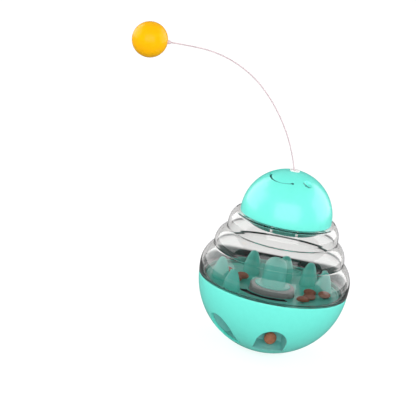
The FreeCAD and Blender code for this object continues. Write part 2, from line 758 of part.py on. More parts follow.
def control_knob():
    """Hollow bell-shaped knob on the rotor, with a screw boss inside."""
    outer = turned_body("knob_outside", [
        Corner("0", "rotor_height"),
        Corner("knob_flange", "rotor_height"),
        Corner("knob_flange", "rotor_height + knob_flange_thick"),
        Corner("knob_foot", "rotor_height + knob_flange_thick"),
        Corner("knob_shoulder", "knob_top_z - knob_round_height", "knob_round"),
        Corner("knob_top", "knob_top_z"),
        Corner("0", "knob_top_z"),
    ])
    hollow = turned_body("knob_inside", [
        Corner("knob_boss", "rotor_height - overcut"),
        Corner("knob_foot - knob_wall", "rotor_height - overcut"),
        Corner("knob_shoulder - knob_wall", "knob_top_z - knob_round_height"),
        Corner("knob_boss", "knob_top_z - knob_crown"),
    ])
    pilot = rod("knob_pilot", "pilot_radius", "rotor_height - overcut", "rotor_height + pilot_depth")
    return cut("control_knob", outer, fuse("knob_tools", [hollow, pilot]))


def knob_screw():
    """Screw that joins knob and rotor from below, its head down."""
    fixing = screw("knob_screw", "knob_screw_length", "rotor_under")
    fixing.Placement.Rotation = FreeCAD.Rotation(FreeCAD.Vector(1, 0, 0), 180)
    return fixing


def clear_shell():
    """Clear dome of three round tiers, with a skirt, bayonet lugs and a neck for the cap."""
    tiers = turned_body("dome_tiers", [
        Corner("skirt_radius", "dome_bottom"),
        Corner("rim_radius", "dome_bottom"),
        Corner("low_wall_radius", "low_z", "low_tier_round"),
        Corner("mid_wall_radius", "low_valley"),
        Corner("mid_wall_radius", "mid_z", "mid_tier_round"),
        Corner("top_wall_radius", "mid_valley"),
        Corner("top_wall_radius", "top_z", "top_tier_round"),
        Corner("shoulder_radius", "dome_top"),
        Corner("neck_radius", "dome_top"),
        Corner("neck_radius", "dome_top - neck_depth"),
        Corner("neck_outer", "dome_top - neck_depth"),
        Corner("neck_outer", "shoulder_under"),
        Corner("shoulder_inner", "shoulder_under", "top_inner_round", "right"),
        Corner("top_inner_radius", "top_z"),
        Corner("top_inner_radius", "mid_inner_valley", "mid_inner_round", "right"),
        Corner("mid_inner_radius", "mid_z"),
        Corner("mid_inner_radius", "low_inner_valley", "low_inner_round", "right"),
        Corner("low_wall_radius - dome_wall", "low_z"),
        Corner("rim_radius - dome_wall", "dome_bottom + dome_foot_height"),
        Corner("skirt_radius - skirt_wall", "dome_bottom + 1"),
        Corner("skirt_radius - skirt_wall", "skirt_bottom"),
        Corner("skirt_radius", "skirt_bottom"),
    ])
    lugs = []
    for index in range(3):
        lug = block(f"lug_{index}", "lug_reach + skirt_wall / 2", "lug_width", "lug_height",
                    "0", "0", "lug_z")
        turn_about_axis(lug, "skirt_radius - skirt_wall / 2", "lug_width", lug_azimuth(index))
        lugs.append(lug)
    return fuse("clear_shell", [tiers] + lugs)


def top_cap():
    """Round cap with an inner skirt, a thumb recess, a finger dimple and a boss for the wand's plug."""
    dome = turned_body("cap_dome", [
        Corner("plug_bore", "boss_bottom"),
        Corner("plug_boss", "boss_bottom"),
        Corner("plug_boss", "cap_centre + sqrt(cap_inner^2 - plug_boss^2)", "cap_inner", "right"),
        Corner("cap_skirt_bore", "cap_centre + sqrt(cap_inner^2 - cap_skirt_bore^2)"),
        Corner("cap_skirt_bore", "cap_skirt_end"),
        Corner("cap_skirt", "cap_skirt_end"),
        Corner("cap_skirt", "cap_centre + sqrt(cap_inner^2 - cap_skirt^2)", "cap_inner", "right"),
        Corner("cap_rim_inner", "cap_bottom"),
        Corner("cap_rim", "cap_bottom", "cap_radius"),
        Corner("plug_seat", "seat_z"),
        Corner("plug_bore", "seat_z"),
    ])
    reach = "(cap_radius + dimple_radius - dimple_depth)"
    spot = (f"cap_centre + {reach} * cos(dimple_tilt_angle)",
            f"{reach} * sin(dimple_tilt_angle) * cos(dimple_azimuth)",
            f"{reach} * sin(dimple_tilt_angle) * sin(dimple_azimuth)")
    backing = common("dimple_backing", ball("dimple_outside", "dimple_radius + dimple_wall", *spot),
                     ball("dimple_limit", "cap_radius - cap_wall / 2", "cap_centre"))
    room = rod("recess_room", "recess_radius", "cap_centre", "cap_centre + cap_radius + overcut",
               "recess_offset", "recess_azimuth")
    floor = ball("recess_floor", "cap_radius", "cap_centre", "-recess_shift * cos(recess_azimuth)",
                 "-recess_shift * sin(recess_azimuth)")
    tools = [cut("thumb_recess", room, floor), ball("dimple", "dimple_radius", *spot)]
    for index in range(4):
        slot = block(f"cap_slot_{index}", "2 * (cap_skirt + overcut)", "cap_slot",
                     "cap_slot_height + overcut", "0", "0", "cap_skirt_end - overcut")
        turn_about_axis(slot, "-cap_skirt - overcut", "cap_slot", f"360 / 16 + {index} * 360 / 8")
        tools.append(slot)
    return cut("top_cap", fuse("cap_with_backing", [dome, backing]), fuse("cap_tools", tools))


def wand_plug():
    """White plug that turns in the cap, with a funnel mouth round the wire and a barb below the boss."""
    return turned_body("wand_plug", [
        Corner("0", "barb_top - plug_barb_height"),
        Corner("plug_stem - plug_lead", "barb_top - plug_barb_height"),
        Corner("plug_barb", "barb_top"),
        Corner("plug_stem", "barb_top"),
        Corner("plug_stem", "plug_bottom"),
        Corner("plug_flange", "plug_bottom"),
        Corner("plug_flange", "plug_top - plug_chamfer"),
        Corner("plug_flange - plug_chamfer", "plug_top"),
        Corner("funnel_radius", "plug_top"),
        Corner("funnel_floor", "funnel_z"),
        Corner("0", "funnel_z"),
    ])


def wire_stations():
    """The wire's points, each with the direction it runs in, and the middle of each arc."""
    heading = math.radians(90.0 + value("wire_lean_angle"))
    root = FreeCAD.Vector(0, 0, value("wire_root"))
    point = root + along(heading, value("wire_root_length"))
    stations = [(root, heading), (point, heading)]
    middles = []
    for stretch in ("low", "mid", "end"):
        bend = value(f"wire_{stretch}_bend")
        turn = math.radians(value(f"wire_{stretch}_angle"))
        centre = point + along(heading + math.pi / 2, bend)
        middles.append(centre + along(heading - math.pi / 2 + turn / 2, bend))
        point = centre + along(heading - math.pi / 2 + turn, bend)
        heading += turn
        stations.append((point, heading))
    return stations, middles


def along(heading, length):
    """A step of a given length in a direction in the wire's plane."""
    return FreeCAD.Vector(math.cos(heading), 0, math.sin(heading)) * length


def spring_wire():
    """Thin coated spring wire: a straight root, three tangent arcs and a straight tail into the ball."""
    stations, middles = wire_stations()
    points = [point for point, _ in stations]
    edges = [Part.LineSegment(points[0], points[1]).toShape()]
    edges += [Part.Arc(*arc).toShape() for arc in zip(points[1:], middles, points[2:])]
    end, heading = stations[-1]
    edges.append(Part.LineSegment(end, end + along(heading, value("wire_tail"))).toShape())
    section = Part.Wire(Part.Circle(points[0], along(stations[0][1], 1.0), value("wire_radius")).toShape())
    wire = document.addObject("Part::Feature", "spring_wire")
    wire.Shape = Part.Wire(edges).makePipeShell([section], True, False)
    return wire


def at_wire_end(piece, beyond):
    """Put a turned piece on the wire's end, its own Z axis pointing back along the wire."""
    end, heading = wire_stations()[0][-1]
    back = along(heading, -1.0)
    turn = FreeCAD.Rotation(FreeCAD.Vector(0, 0, 1), back)
    piece.Placement = FreeCAD.Placement(end + along(heading, beyond), turn)
    return piece


def ball_collar():
    """Small bead crimped on the wire against the ball."""
    collar = turned_body("ball_collar", [
        Corner("wire_bore", "0"),
        Corner("collar_radius", "0"),
        Corner("collar_radius", "collar_length - collar_round", "collar_round"),
        Corner("collar_radius - collar_round", "collar_length"),
        Corner("wire_bore", "collar_length"),
    ])
    return at_wire_end(collar, 0.0)


def wand_ball():
    """Hollow moulded ball with a small flat where the wire goes in."""
    flat = "sqrt(toy_radius^2 - toy_flat^2)"
    inside = "(toy_radius - toy_wall)"
    hull = turned_body("wand_ball", [
        Corner("wire_bore", f"sqrt({inside}^2 - wire_bore^2)"),
        Corner("wire_bore", flat),
        Corner("toy_flat", flat, "toy_radius", "right"),
        Corner("toy_radius", "0", "toy_radius", "right"),
        Corner("0", "-toy_radius"),
        Corner("0", f"-{inside}", inside),
        Corner(inside, "0", inside),
    ])
    return at_wire_end(hull, value(flat))


def kibble(name):
    """One lens-shaped piece of kibble."""
    piece = document.addObject("Part::Ellipsoid", name)
    piece.setExpression("Radius1", bind("kibble_half"))
    piece.setExpression("Radius2", bind("kibble_radius"))
    piece.setExpression("Radius3", bind("kibble_radius"))
    return piece


def treats():
    """Kibble lying on the tray, and one piece on edge on the front outlet's ramp."""
    pieces = []
    rise = "sqrt(kibble_half^2 + (kibble_radius * tray_slope)^2) + kibble_gap"
    for row, azimuths in KIBBLE_AZIMUTHS.items():
        distance = f"drop_outer + {row}"
        height = f"tray_floor_height + ({distance} - tray_flat_radius) * tray_slope + {rise}"
        for azimuth in azimuths:
            pieces.append(place(kibble(f"kibble_{len(pieces)}"), distance, str(azimuth), height))
    fallen = kibble("kibble_fallen")
    lie_outwards(fallen, "kibble_fallen_azimuth", "kibble_fallen_ring",
                 "ramp_toe_z + (ramp_toe - kibble_fallen_ring) * tan(ramp_slope) + kibble_gap"
                 " + sqrt(kibble_radius^2 + (kibble_half * tan(ramp_slope))^2)")
    pieces.append(fallen)
    return group("treats", pieces)


def check_document():
    """Stop if any feature failed."""
    for item in document.Objects:
        if "Invalid" in item.State or "Error" in item.State:
            raise RuntimeError(f"{item.Name} failed: {item.State}")


def write_parts(pieces):
    """Check each finished piece and write its file."""
    os.makedirs("parts", exist_ok=True)
    for piece in pieces:
        piece.Label = piece.Name
        shape = piece.Shape
        if shape.isNull() or not shape.isValid() or not shape.Solids:
            raise RuntimeError(f"{piece.Label} has no valid solid")
        shape.exportStep(f"parts/{piece.Label}.step")
        print(f"{piece.Label}: {len(shape.Solids)} solid(s), {shape.Volume / 1000:.2f} cm3")


fill_sheets()
finished = [make() for make in (
    base_bowl, treat_duct, ballast, ballast_cover, ballast_screws, feeder_tray, tray_screws, metering_rotor,
    control_knob, knob_screw, clear_shell, top_cap, wand_plug, spring_wire, ball_collar, wand_ball,
    treats)]
document.recompute()
check_document()
write_parts(finished)
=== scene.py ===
"""Treat ball toy for a cat: weighted bowl, clear stepped dome, round cap and an orange ball on a spring wire.

Lengths are in millimetres in the toy's own frame: origin at the centre of its flat foot, +Z up, front towards
-Y. Meshes, the studio and the lamps are in metres. OVER is how far a cutting solid reaches past what it cuts.
"""

import logging
import math
from collections.abc import Callable
from dataclasses import dataclass, field
from enum import Enum

import bpy
from mathutils import Matrix, Vector


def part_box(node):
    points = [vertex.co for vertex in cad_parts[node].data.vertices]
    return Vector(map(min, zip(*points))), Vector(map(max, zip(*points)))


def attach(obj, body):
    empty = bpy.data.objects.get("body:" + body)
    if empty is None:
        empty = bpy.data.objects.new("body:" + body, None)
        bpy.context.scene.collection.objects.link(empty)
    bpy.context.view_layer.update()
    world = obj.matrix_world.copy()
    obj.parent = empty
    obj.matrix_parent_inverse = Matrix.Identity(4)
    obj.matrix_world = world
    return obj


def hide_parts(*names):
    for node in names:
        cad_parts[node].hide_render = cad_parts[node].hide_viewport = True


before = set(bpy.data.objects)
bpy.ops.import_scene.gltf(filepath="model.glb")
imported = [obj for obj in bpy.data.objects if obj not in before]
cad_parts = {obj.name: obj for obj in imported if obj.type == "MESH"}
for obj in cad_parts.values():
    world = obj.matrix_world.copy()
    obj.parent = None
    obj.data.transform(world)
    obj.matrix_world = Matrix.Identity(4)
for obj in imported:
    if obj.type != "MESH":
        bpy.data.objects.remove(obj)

MM = 0.001
MERGE = 0.002 * MM
OVER = 1.0
LOG = logging.getLogger("treat_ball")
Piece = bpy.types.Object
Material = bpy.types.Material
Socket = bpy.types.NodeSocket
Colour = tuple[float, float, float]
Azimuths = tuple[float, ...]


class Turn(Enum):
    """Which way an arc of a half-section bends as it is followed."""

    LEFT = 1
    RIGHT = -1


class Cut(Enum):
    """What a combining step does with the second solid."""

    TAKE_OUT = "DIFFERENCE"
    JOIN = "UNION"
    KEEP_SHARED = "INTERSECT"


class Body(Enum):
    """The moving bodies that pieces hang on."""

    BASE = "base"
    ROTOR = "rotor"
    SHELL = "shell"
    CAP = "cap"
    PLUG = "plug"
    WAND = "wand"


@dataclass
class Line:
    """A line drawn through points, each a distance from the axis and a height."""

    points: list[tuple[float, float]] = field(default_factory=list)

    def to(self, across: float, up: float) -> "Line":
        """Go straight to a point, and hand the line back."""
        self.points.append((across, up))
        return self

    def arc(self, across: float, up: float, radius: float, turn: Turn = Turn.LEFT,
            step: float = 3.0) -> "Line":
        """Go to a point along an arc of up to half a turn.

        Args:
            across: distance of the arc's end from the axis.
            up: height of the arc's end.
            radius: radius of the arc.
            turn: which way the arc bends.
            step: largest angle between two points, in degrees.

        Returns:
            The line itself.
        """
        start, end = Vector(self.points[-1]), Vector((across, up))
        chord = end - start
        side = Vector((-chord.y, chord.x)).normalized() * turn.value
        centre = (start + end) / 2 + side * math.sqrt(max(radius ** 2 - (chord.length / 2) ** 2, 0.0))
        sweep = 2 * math.asin(min(chord.length / 2 / radius, 1.0)) * turn.value
        first = math.atan2(start.y - centre.y, start.x - centre.x)
        count = max(3, math.ceil(abs(math.degrees(sweep)) / step))
        for index in range(1, count + 1):
            angle = first + sweep * index / count
            self.to(centre.x + radius * math.cos(angle), centre.y + radius * math.sin(angle))
        return self


def rise(radius: float, across: float) -> float:
    """Height of a round surface above its centre, at a distance from its axis."""
    return math.sqrt(radius ** 2 - across ** 2)


def toward(azimuth: float, distance: float, up: float = 0.0) -> Vector:
    """The point at an azimuth in degrees, a distance from the axis and a height."""
    angle = math.radians(azimuth)
    return Vector((distance * math.cos(angle), distance * math.sin(angle), up))


def clear_bench() -> None:
    """Leave edit mode and select nothing."""
    if bpy.context.object and bpy.context.object.mode != "OBJECT":
        bpy.ops.object.mode_set(mode="OBJECT")
    bpy.ops.object.select_all(action="DESELECT")


def hold(piece: Piece) -> None:
    """Select one piece alone and make it active.

    Args:
        piece: the piece to work on.
    """
    clear_bench()
    piece.select_set(True)
    bpy.context.view_layer.objects.active = piece


def settle(name: str) -> Piece:
    """Name the piece that was just added, and take its placing into its mesh.

    Args:
        name: its name.

    Returns:
        The piece.
    """
    piece = bpy.context.object
    piece.name = piece.data.name = name
    bpy.ops.object.transform_apply(location=True, rotation=True, scale=True)
    return piece


def draw(name: str, line: Line, closed: bool = True) -> None:
    """Draw a line in the upright plane through the axis, and stay in edit mode with all of it selected.

    Args:
        name: name of the piece.
        line: the line to draw.
        closed: whether the last point joins the first.
    """
    clear_bench()
    spots = [Vector((across, 0, up)) * MM for across, up in line.points]
    bpy.ops.mesh.primitive_plane_add(size=MM, location=spots[0])
    settle(name)
    bpy.ops.object.mode_set(mode="EDIT")
    bpy.ops.mesh.select_all(action="SELECT")
    bpy.ops.mesh.merge(type="CENTER")
    route = spots[1:] + spots[:1] if closed else spots[1:]
    for last, spot in zip(spots, route):
        bpy.ops.mesh.extrude_region_move(TRANSFORM_OT_translate={"value": spot - last})
    bpy.ops.mesh.select_all(action="SELECT")
    bpy.ops.mesh.remove_doubles(threshold=MERGE)


def close_up() -> Piece:
    """Merge double points, turn the faces outwards and leave edit mode.

    Returns:
        The piece.
    """
    bpy.ops.mesh.select_all(action="SELECT")
    bpy.ops.mesh.remove_doubles(threshold=MERGE)
    bpy.ops.mesh.normals_make_consistent(inside=False)
    bpy.ops.object.mode_set(mode="OBJECT")
    return bpy.context.object


def turned(name: str, line: Line, closed: bool = True, steps: int = 144) -> Piece:
    """Turn a half-section about the upright axis.

    Args:
        name: name of the piece.
        line: its half-section.
        closed: whether the last point joins the first; not so where both lie on the axis.
        steps: faces round the axis.

    Returns:
        The turned piece.
    """
    draw(name, line, closed)
    bpy.ops.mesh.spin(steps=steps, angle=math.tau, center=(0, 0, 0), axis=(0, 0, 1))
    return close_up()


def sector(name: str, line: Line, azimuth: float, span: float) -> Piece:
    """Turn a closed half-section part of the way round; the spin runs clockwise, seen from above.

    Args:
        name: name of the piece.
        line: its half-section.
        azimuth: direction of its middle, in degrees.
        span: angle that it fills, in degrees.

    Returns:
        The sector.
    """
    draw(name, line)
    bpy.ops.mesh.edge_face_add()
    bpy.ops.mesh.spin(steps=60, angle=math.radians(span), center=(0, 0, 0), axis=(0, 0, 1))
    return swing(close_up(), 0, azimuth + span / 2)


def rod(name: str, radius: float, low: float, high: float, sides: int = 48) -> Piece:
    """An upright cylinder on the axis.

    Args:
        name: name of the piece.
        radius: its radius.
        low: height of its lower end.
        high: height of its upper end.
        sides: faces round it.

    Returns:
        The cylinder.
    """
    clear_bench()
    bpy.ops.mesh.primitive_cylinder_add(vertices=sides, radius=radius * MM, depth=(high - low) * MM,
                                        location=(0, 0, (low + high) / 2 * MM))
    return settle(name)


def box(name: str, low: tuple[float, float, float], high: tuple[float, float, float]) -> Piece:
    """A plain box between two corners.

    Args:
        name: name of the piece.
        low: its low corner.
        high: its high corner.

    Returns:
        The box.
    """
    clear_bench()
    bpy.ops.mesh.primitive_cube_add(size=1, location=(Vector(low) + Vector(high)) / 2 * MM)
    bpy.context.object.scale = (Vector(high) - Vector(low)) * MM
    return settle(name)


def ball(name: str, radius: float, centre: tuple[float, float, float] | Vector = (0, 0, 0),
         sides: tuple[int, int] = (96, 64), flatness: float = 1.0) -> Piece:
    """A full ball, or one that is flattened from above.

    Args:
        name: name of the piece.
        radius: its radius.
        centre: its centre.
        sides: faces round it, and from pole to pole.
        flatness: its height as a share of its width.

    Returns:
        The ball.
    """
    clear_bench()
    bpy.ops.mesh.primitive_uv_sphere_add(segments=sides[0], ring_count=sides[1], radius=radius * MM,
                                         location=Vector(centre) * MM)
    bpy.context.object.scale.z = flatness
    return settle(name)


def place(piece: Piece, placing: Matrix) -> Piece:
    """Put a placing into a piece's mesh, so that its object stays at the origin.

    Args:
        piece: the piece to place.
        placing: where it goes.

    Returns:
        The placed piece.
    """
    hold(piece)
    piece.matrix_world = placing @ piece.matrix_world
    bpy.ops.object.transform_apply(location=True, rotation=True, scale=True)
    return piece


def swing(piece: Piece, distance: float, azimuth: float, up: float = 0.0) -> Piece:
    """Move a piece out along +X and up, then round the axis to an azimuth in degrees, and hand it back."""
    angle = Matrix.Rotation(math.radians(azimuth), 4, "Z")
    return place(piece, angle @ Matrix.Translation(Vector((distance, 0, up)) * MM))


def copied(piece: Piece) -> Piece:
    """Copy a piece with its own mesh.

    Args:
        piece: the piece to copy.

    Returns:
        The copy.
    """
    twin = piece.copy()
    twin.data = piece.data.copy()
    bpy.context.scene.collection.objects.link(twin)
    return twin


def gather(pieces: list[Piece]) -> Piece:
    """Make one object of several that keep apart.

    Args:
        pieces: the pieces.

    Returns:
        The object, named like the first.
    """
    hold(pieces[0])
    for piece in pieces[1:]:
        piece.select_set(True)
    bpy.ops.object.join()
    return pieces[0]


def ring(piece: Piece, distance: float, azimuths: Azimuths) -> Piece:
    """Repeat a piece round the axis, as one object of separate solids.

    Args:
        piece: the piece, made on the axis.
        distance: distance from the axis.
        azimuths: directions, in degrees.

    Returns:
        All the copies, joined.
    """
    copies = [swing(copied(piece), distance, azimuth) for azimuth in azimuths]
    bpy.data.objects.remove(piece)
    return gather(copies)


def modify(piece: Piece, kind: str, **settings: object) -> None:
    """Put a modifier on a piece and apply it.

    Args:
        piece: the piece to change.
        kind: the modifier's kind.
        settings: what is set on it.
    """
    hold(piece)
    change = piece.modifiers.new(kind.lower(), kind)
    for name, value in settings.items():
        setattr(change, name, value)
    bpy.ops.object.modifier_apply(modifier=change.name)


def combine(piece: Piece, tool: Piece, way: Cut = Cut.TAKE_OUT) -> Piece:
    """Combine a piece with a second solid, which is used up.

    Args:
        piece: the piece to change.
        tool: the other solid.
        way: what to do with it.

    Returns:
        The changed piece.
    """
    modify(piece, "BOOLEAN", operation=way.value, solver="EXACT", object=tool)
    bpy.data.objects.remove(tool)
    return piece


def round_edges(piece: Piece, width: float, angle: float, segments: int = 3) -> None:
    """Round every edge that is sharper than an angle in degrees, to a width and in a number of faces."""
    modify(piece, "BEVEL", width=width * MM, segments=segments, limit_method="ANGLE",
           angle_limit=math.radians(angle))


def deliver(piece: Piece, body: Body, node: str, finish: Material, sharp: float = 32.0) -> None:
    """Shade and dress a finished piece and hang it on its body, in place of the solid it stands for.

    Args:
        piece: the finished piece.
        body: the body that carries it.
        node: name of the node that it replaces.
        finish: its material.
        sharp: edges sharper than this stay sharp, in degrees.
    """
    hold(piece)
    bpy.ops.object.shade_smooth_by_angle(angle=math.radians(sharp))
    piece.data.materials.clear()
    piece.data.materials.append(finish)
    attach(piece, body.value)
    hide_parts(node)
    LOG.info("%s: %d faces on %s", piece.name, len(piece.data.polygons), body.value)


def tint(piece: Piece, finish: Material, chosen: Callable[[Vector], bool]) -> None:
    """Give chosen faces of a delivered piece a further finish.

    Args:
        piece: the delivered piece.
        finish: the further finish.
        chosen: tells from a face's centre whether the face gets it.
    """
    piece.data.materials.append(finish)
    faces = [face for face in piece.data.polygons if chosen(face.center / MM)]
    for face in faces:
        face.material_index = len(piece.data.materials) - 1
    LOG.info("%s: %d faces in %s", piece.name, len(faces), finish.name)


@dataclass
class Wiring:
    """The nodes of one material, or of the world."""

    tree: bpy.types.NodeTree

    def feed(self, node: bpy.types.Node, inputs: dict[str | int, object]) -> None:
        """Set a node's inputs, or link them.

        Args:
            node: the node.
            inputs: for each input, its value or the socket that feeds it.
        """
        for name, value in inputs.items():
            if isinstance(value, Socket):
                self.tree.links.new(value, node.inputs[name])
            else:
                node.inputs[name].default_value = value

    def add(self, kind: str, inputs: dict[str | int, object] | None = None, way: str = "") -> bpy.types.Node:
        """Add a node.

        Args:
            kind: its kind.
            inputs: for each input that doesn't stay as it is, its value or the socket that feeds it.
            way: what it works out, where it has a choice.

        Returns:
            The node.
        """
        node = self.tree.nodes.new("ShaderNode" + kind)
        if way:
            node.operation = way
        self.feed(node, inputs or {})
        return node

    def ramp(self, value: Socket, *stops: tuple[float, Colour]) -> Socket:
        """Change from one colour to another along a value.

        Args:
            value: the value.
            stops: the two ends, each a position and a colour.

        Returns:
            The colour.
        """
        node = self.add("ValToRGB", {"Fac": value})
        for element, (position, colour) in zip(node.color_ramp.elements, stops):
            element.position = position
            element.color = (*colour, 1)
        return node.outputs["Color"]

    def work_out(self, way: str, first: Socket, second: Socket | float) -> Socket:
        """Work out a sum of two terms, kept between 0 and 1.

        Args:
            way: the kind of sum.
            first: its first term.
            second: its second term.

        Returns:
            The result.
        """
        node = self.add("Math", {0: first, 1: second}, way)
        node.use_clamp = True
        return node.outputs["Value"]

    def mix(self, share: Socket, first: Socket, second: Socket) -> Socket:
        """Show the second shader in place of the first, by a share."""
        return self.add("MixShader", {"Fac": share, 1: first, 2: second}).outputs["Shader"]

    def show(self, surface: Socket) -> None:
        """Send a shader to the output."""
        output = next(node for node in self.tree.nodes if node.bl_idname.startswith("ShaderNodeOutput"))
        self.feed(output, {"Surface": surface})


@dataclass(frozen=True)
class Finish:
    """A material made of nodes, with a faint variation of colour, gloss and surface."""

    name: str
    colour: Colour
    shade: Colour
    roughness: float = 0.25
    unevenness: float = 0.03
    bump: float = 0.02
    grain: float = 60.0
    patch: float = 25.0

    def noise(self, wiring: Wiring, scale: float, detail: float = 3.0) -> Socket:
        """A noise pattern on the piece's own coordinates, with its repeats per decimetre."""
        spot = wiring.add("TexCoord").outputs["Object"]
        return wiring.add("TexNoise", {"Scale": scale * 10, "Detail": detail, "Vector": spot}).outputs["Fac"]

    def dress(self, wiring: Wiring, shader: bpy.types.ShaderNode) -> None:
        """Set what a kind of finish has beyond colour, gloss and surface."""

    def make(self) -> Material:
        """Make the material.

        Returns:
            The finished material.
        """
        material = bpy.data.materials.new(self.name)
        material.use_nodes = True
        wiring, shader = Wiring(material.node_tree), material.node_tree.nodes["Principled BSDF"]
        tone = wiring.ramp(self.noise(wiring, self.patch), (0.3, self.shade), (0.7, self.colour))
        gloss = wiring.add("MapRange", {"Value": self.noise(wiring, self.patch * 1.7),
                                        "To Min": max(self.roughness - self.unevenness, 0.0),
                                        "To Max": self.roughness + self.unevenness})
        wiring.feed(shader, {"Base Color": tone, "Roughness": gloss.outputs["Result"]})
        if self.bump:
            relief = wiring.add("Bump", {"Strength": self.bump, "Distance": MM,
                                         "Height": self.noise(wiring, self.grain, 4.0)})
            wiring.feed(shader, {"Normal": relief.outputs["Normal"]})
        self.dress(wiring, shader)
        return material


@dataclass(frozen=True)
class Plastic(Finish):
    """Moulded plastic."""

    specular: float = 0.5
    bend: float = 1.46

    def dress(self, wiring: Wiring, shader: bpy.types.ShaderNode) -> None:
        """Set how strongly the plastic mirrors."""
        wiring.feed(shader, {"IOR": self.bend, "Specular IOR Level": self.specular})


@dataclass(frozen=True)
class Metal(Finish):
    """Bare or plated metal."""

    def dress(self, wiring: Wiring, shader: bpy.types.ShaderNode) -> None:
        """Set the shader to metal."""
        wiring.feed(shader, {"Metallic": 1.0})


@dataclass(frozen=True)
class ClearPlastic(Finish):
    """Clear moulded plastic that lets the lamps light what it holds."""

    bump: float = 0.0
    bend: float = 1.45
    dimming: float = 0.54

    def dress(self, wiring: Wiring, shader: bpy.types.ShaderNode) -> None:
        """Make the shader clear to the eye, and let shadow rays through dimmed.

        Args:
            wiring: the material's nodes.
            shader: its main shader.
        """
        wiring.feed(shader, {"IOR": self.bend, "Transmission Weight": 1.0})
        passing = wiring.add("BsdfTransparent", {"Color": (self.dimming, self.dimming, self.dimming, 1)})
        shadow = wiring.add("LightPath").outputs["Is Shadow Ray"]
        wiring.show(wiring.mix(shadow, shader.outputs["BSDF"], passing.outputs["BSDF"]))


class Shelf:
    """The finishes that the toy is dressed in."""

    def __init__(self) -> None:
        """Mix every finish once."""
        fine = {"unevenness": 0.02, "bump": 0.004, "grain": 200.0}
        self.teal = Plastic("teal_plastic", (0.165, 0.84, 0.71), (0.158, 0.82, 0.69), 0.24, **fine).make()
        # Painted shade: a greyer, darker teal for the treat duct and the inside of the front outlet.
        self.outlet_shade_teal = Plastic("outlet_shade_teal_plastic", (0.26, 0.66, 0.62), (0.23, 0.60, 0.56), 0.35,
                                  **fine).make()
        # Painted shade for the faces of the groove along the thumb recess's front edge.
        self.crease = Plastic("crease_shadow", (0.03, 0.17, 0.16), (0.02, 0.13, 0.12), 0.5).make()
        self.smoky = Plastic("smoky_plastic", (0.33, 0.32, 0.32), (0.28, 0.27, 0.27), 0.3).make()
        # Painted shade: a darker teal for the cap's skirt and the dimple's lower side.
        self.painted_shade_teal = Plastic("painted_shade_teal_plastic", (0.050, 0.29, 0.255), (0.045, 0.27, 0.235), 0.4).make()
        # Painted shade: near black, for the rotor's shutter and the tray's drop opening edge.
        self.dark = Plastic("painted_dark_shade_plastic", (0.020, 0.019, 0.020), (0.014, 0.013, 0.014), 0.45).make()
        self.white = Plastic("white_plastic", (0.86, 0.86, 0.85), (0.80, 0.80, 0.79), 0.3).make()
        self.orange = Plastic("orange_plastic", (0.96, 0.47, 0.002), (0.93, 0.45, 0.002), 0.22, specular=0.12,
                              **fine).make()
        self.wire = Plastic("coated_wire", (0.66, 0.52, 0.55), (0.60, 0.47, 0.50), 0.4).make()
        self.steel = Metal("screw_steel", (0.62, 0.63, 0.65), (0.50, 0.51, 0.53), 0.3).make()
        self.iron = Metal("ballast_iron", (0.30, 0.30, 0.31), (0.20, 0.20, 0.21), 0.5).make()
        self.clear = ClearPlastic("clear_plastic", (0.915, 0.908, 0.902), (0.905, 0.898, 0.892), 0.02,
                                  0.01).make()
        self.kibble = Plastic("kibble_brown", (0.52, 0.175, 0.095), (0.38, 0.120, 0.062), 0.75, 0.1, 0.5,
                              160.0, 40.0).make()

    def dress_solids(self) -> None:
        """Give every plain solid its finish."""
        # The treat duct gets the outlet's painted shade.
        groups = ((self.teal, "base_bowl", "ballast_cover", "feeder_tray", "control_knob", "top_cap"),
                  (self.steel, "ballast_screws", "tray_screws", "knob_screw"), (self.iron, "ballast"),
                  (self.wire, "spring_wire", "ball_collar"), (self.outlet_shade_teal, "treat_duct"),
                  (self.smoky, "metering_rotor"), (self.clear, "clear_shell"), (self.white, "wand_plug"),
                  (self.orange, "wand_ball"), (self.kibble, "treats"))
        for finish, *names in groups:
            for name in names:
                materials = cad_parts[name].data.materials
                materials.clear()
                materials.append(finish)
            LOG.info("%s on the plain solids %s", finish.name, names)


@dataclass(frozen=True)
class Layout:
    """Radii, heights and places that several pieces share."""

    bowl_radius: float = 65.0
    foot_radius: float = 9.0
    rim_drop: float = 4.06
    rim_wall: float = 3.17
    bore_depth: float = 9.3
    tray_lift: float = 0.99
    rotor_rise: float = 6.2
    dome_rise: float = 59.9
    cap_gap: float = 0.1
    screw_ring: float = 38.0
    screw_azimuths: Azimuths = (-45.0, 97.0, 190.0)

    @property
    def centre(self) -> float:
        """Height of the bowl's centre."""
        return rise(self.bowl_radius, self.foot_radius)

    @property
    def rim(self) -> float:
        """Height of the bowl's rim."""
        return self.centre - self.rim_drop

    @property
    def rim_radius(self) -> float:
        """Outer radius of the bowl's rim."""
        return rise(self.bowl_radius, self.rim_drop)

    @property
    def bore(self) -> float:
        """Radius of the bore that takes the dome's skirt."""
        return self.rim_radius - self.rim_wall

    @property
    def ledge(self) -> float:
        """Height of the ledge that carries the tray."""
        return self.rim - self.bore_depth

    @property
    def tray_floor(self) -> float:
        """Height of the tray's flat middle."""
        return self.ledge + self.tray_lift

    @property
    def rotor_top(self) -> float:
        """Height of the rotor's disc."""
        return self.tray_floor + self.rotor_rise

    @property
    def dome_top(self) -> float:
        """Height of the dome's top."""
        return self.rim + self.dome_rise

    @property
    def cap_bottom(self) -> float:
        """Height of the cap's rim."""
        return self.dome_top + self.cap_gap


@dataclass
class Assembly:
    """What every sub-assembly works from: the toy's layout and the finishes."""

    layout: Layout
    shelf: Shelf


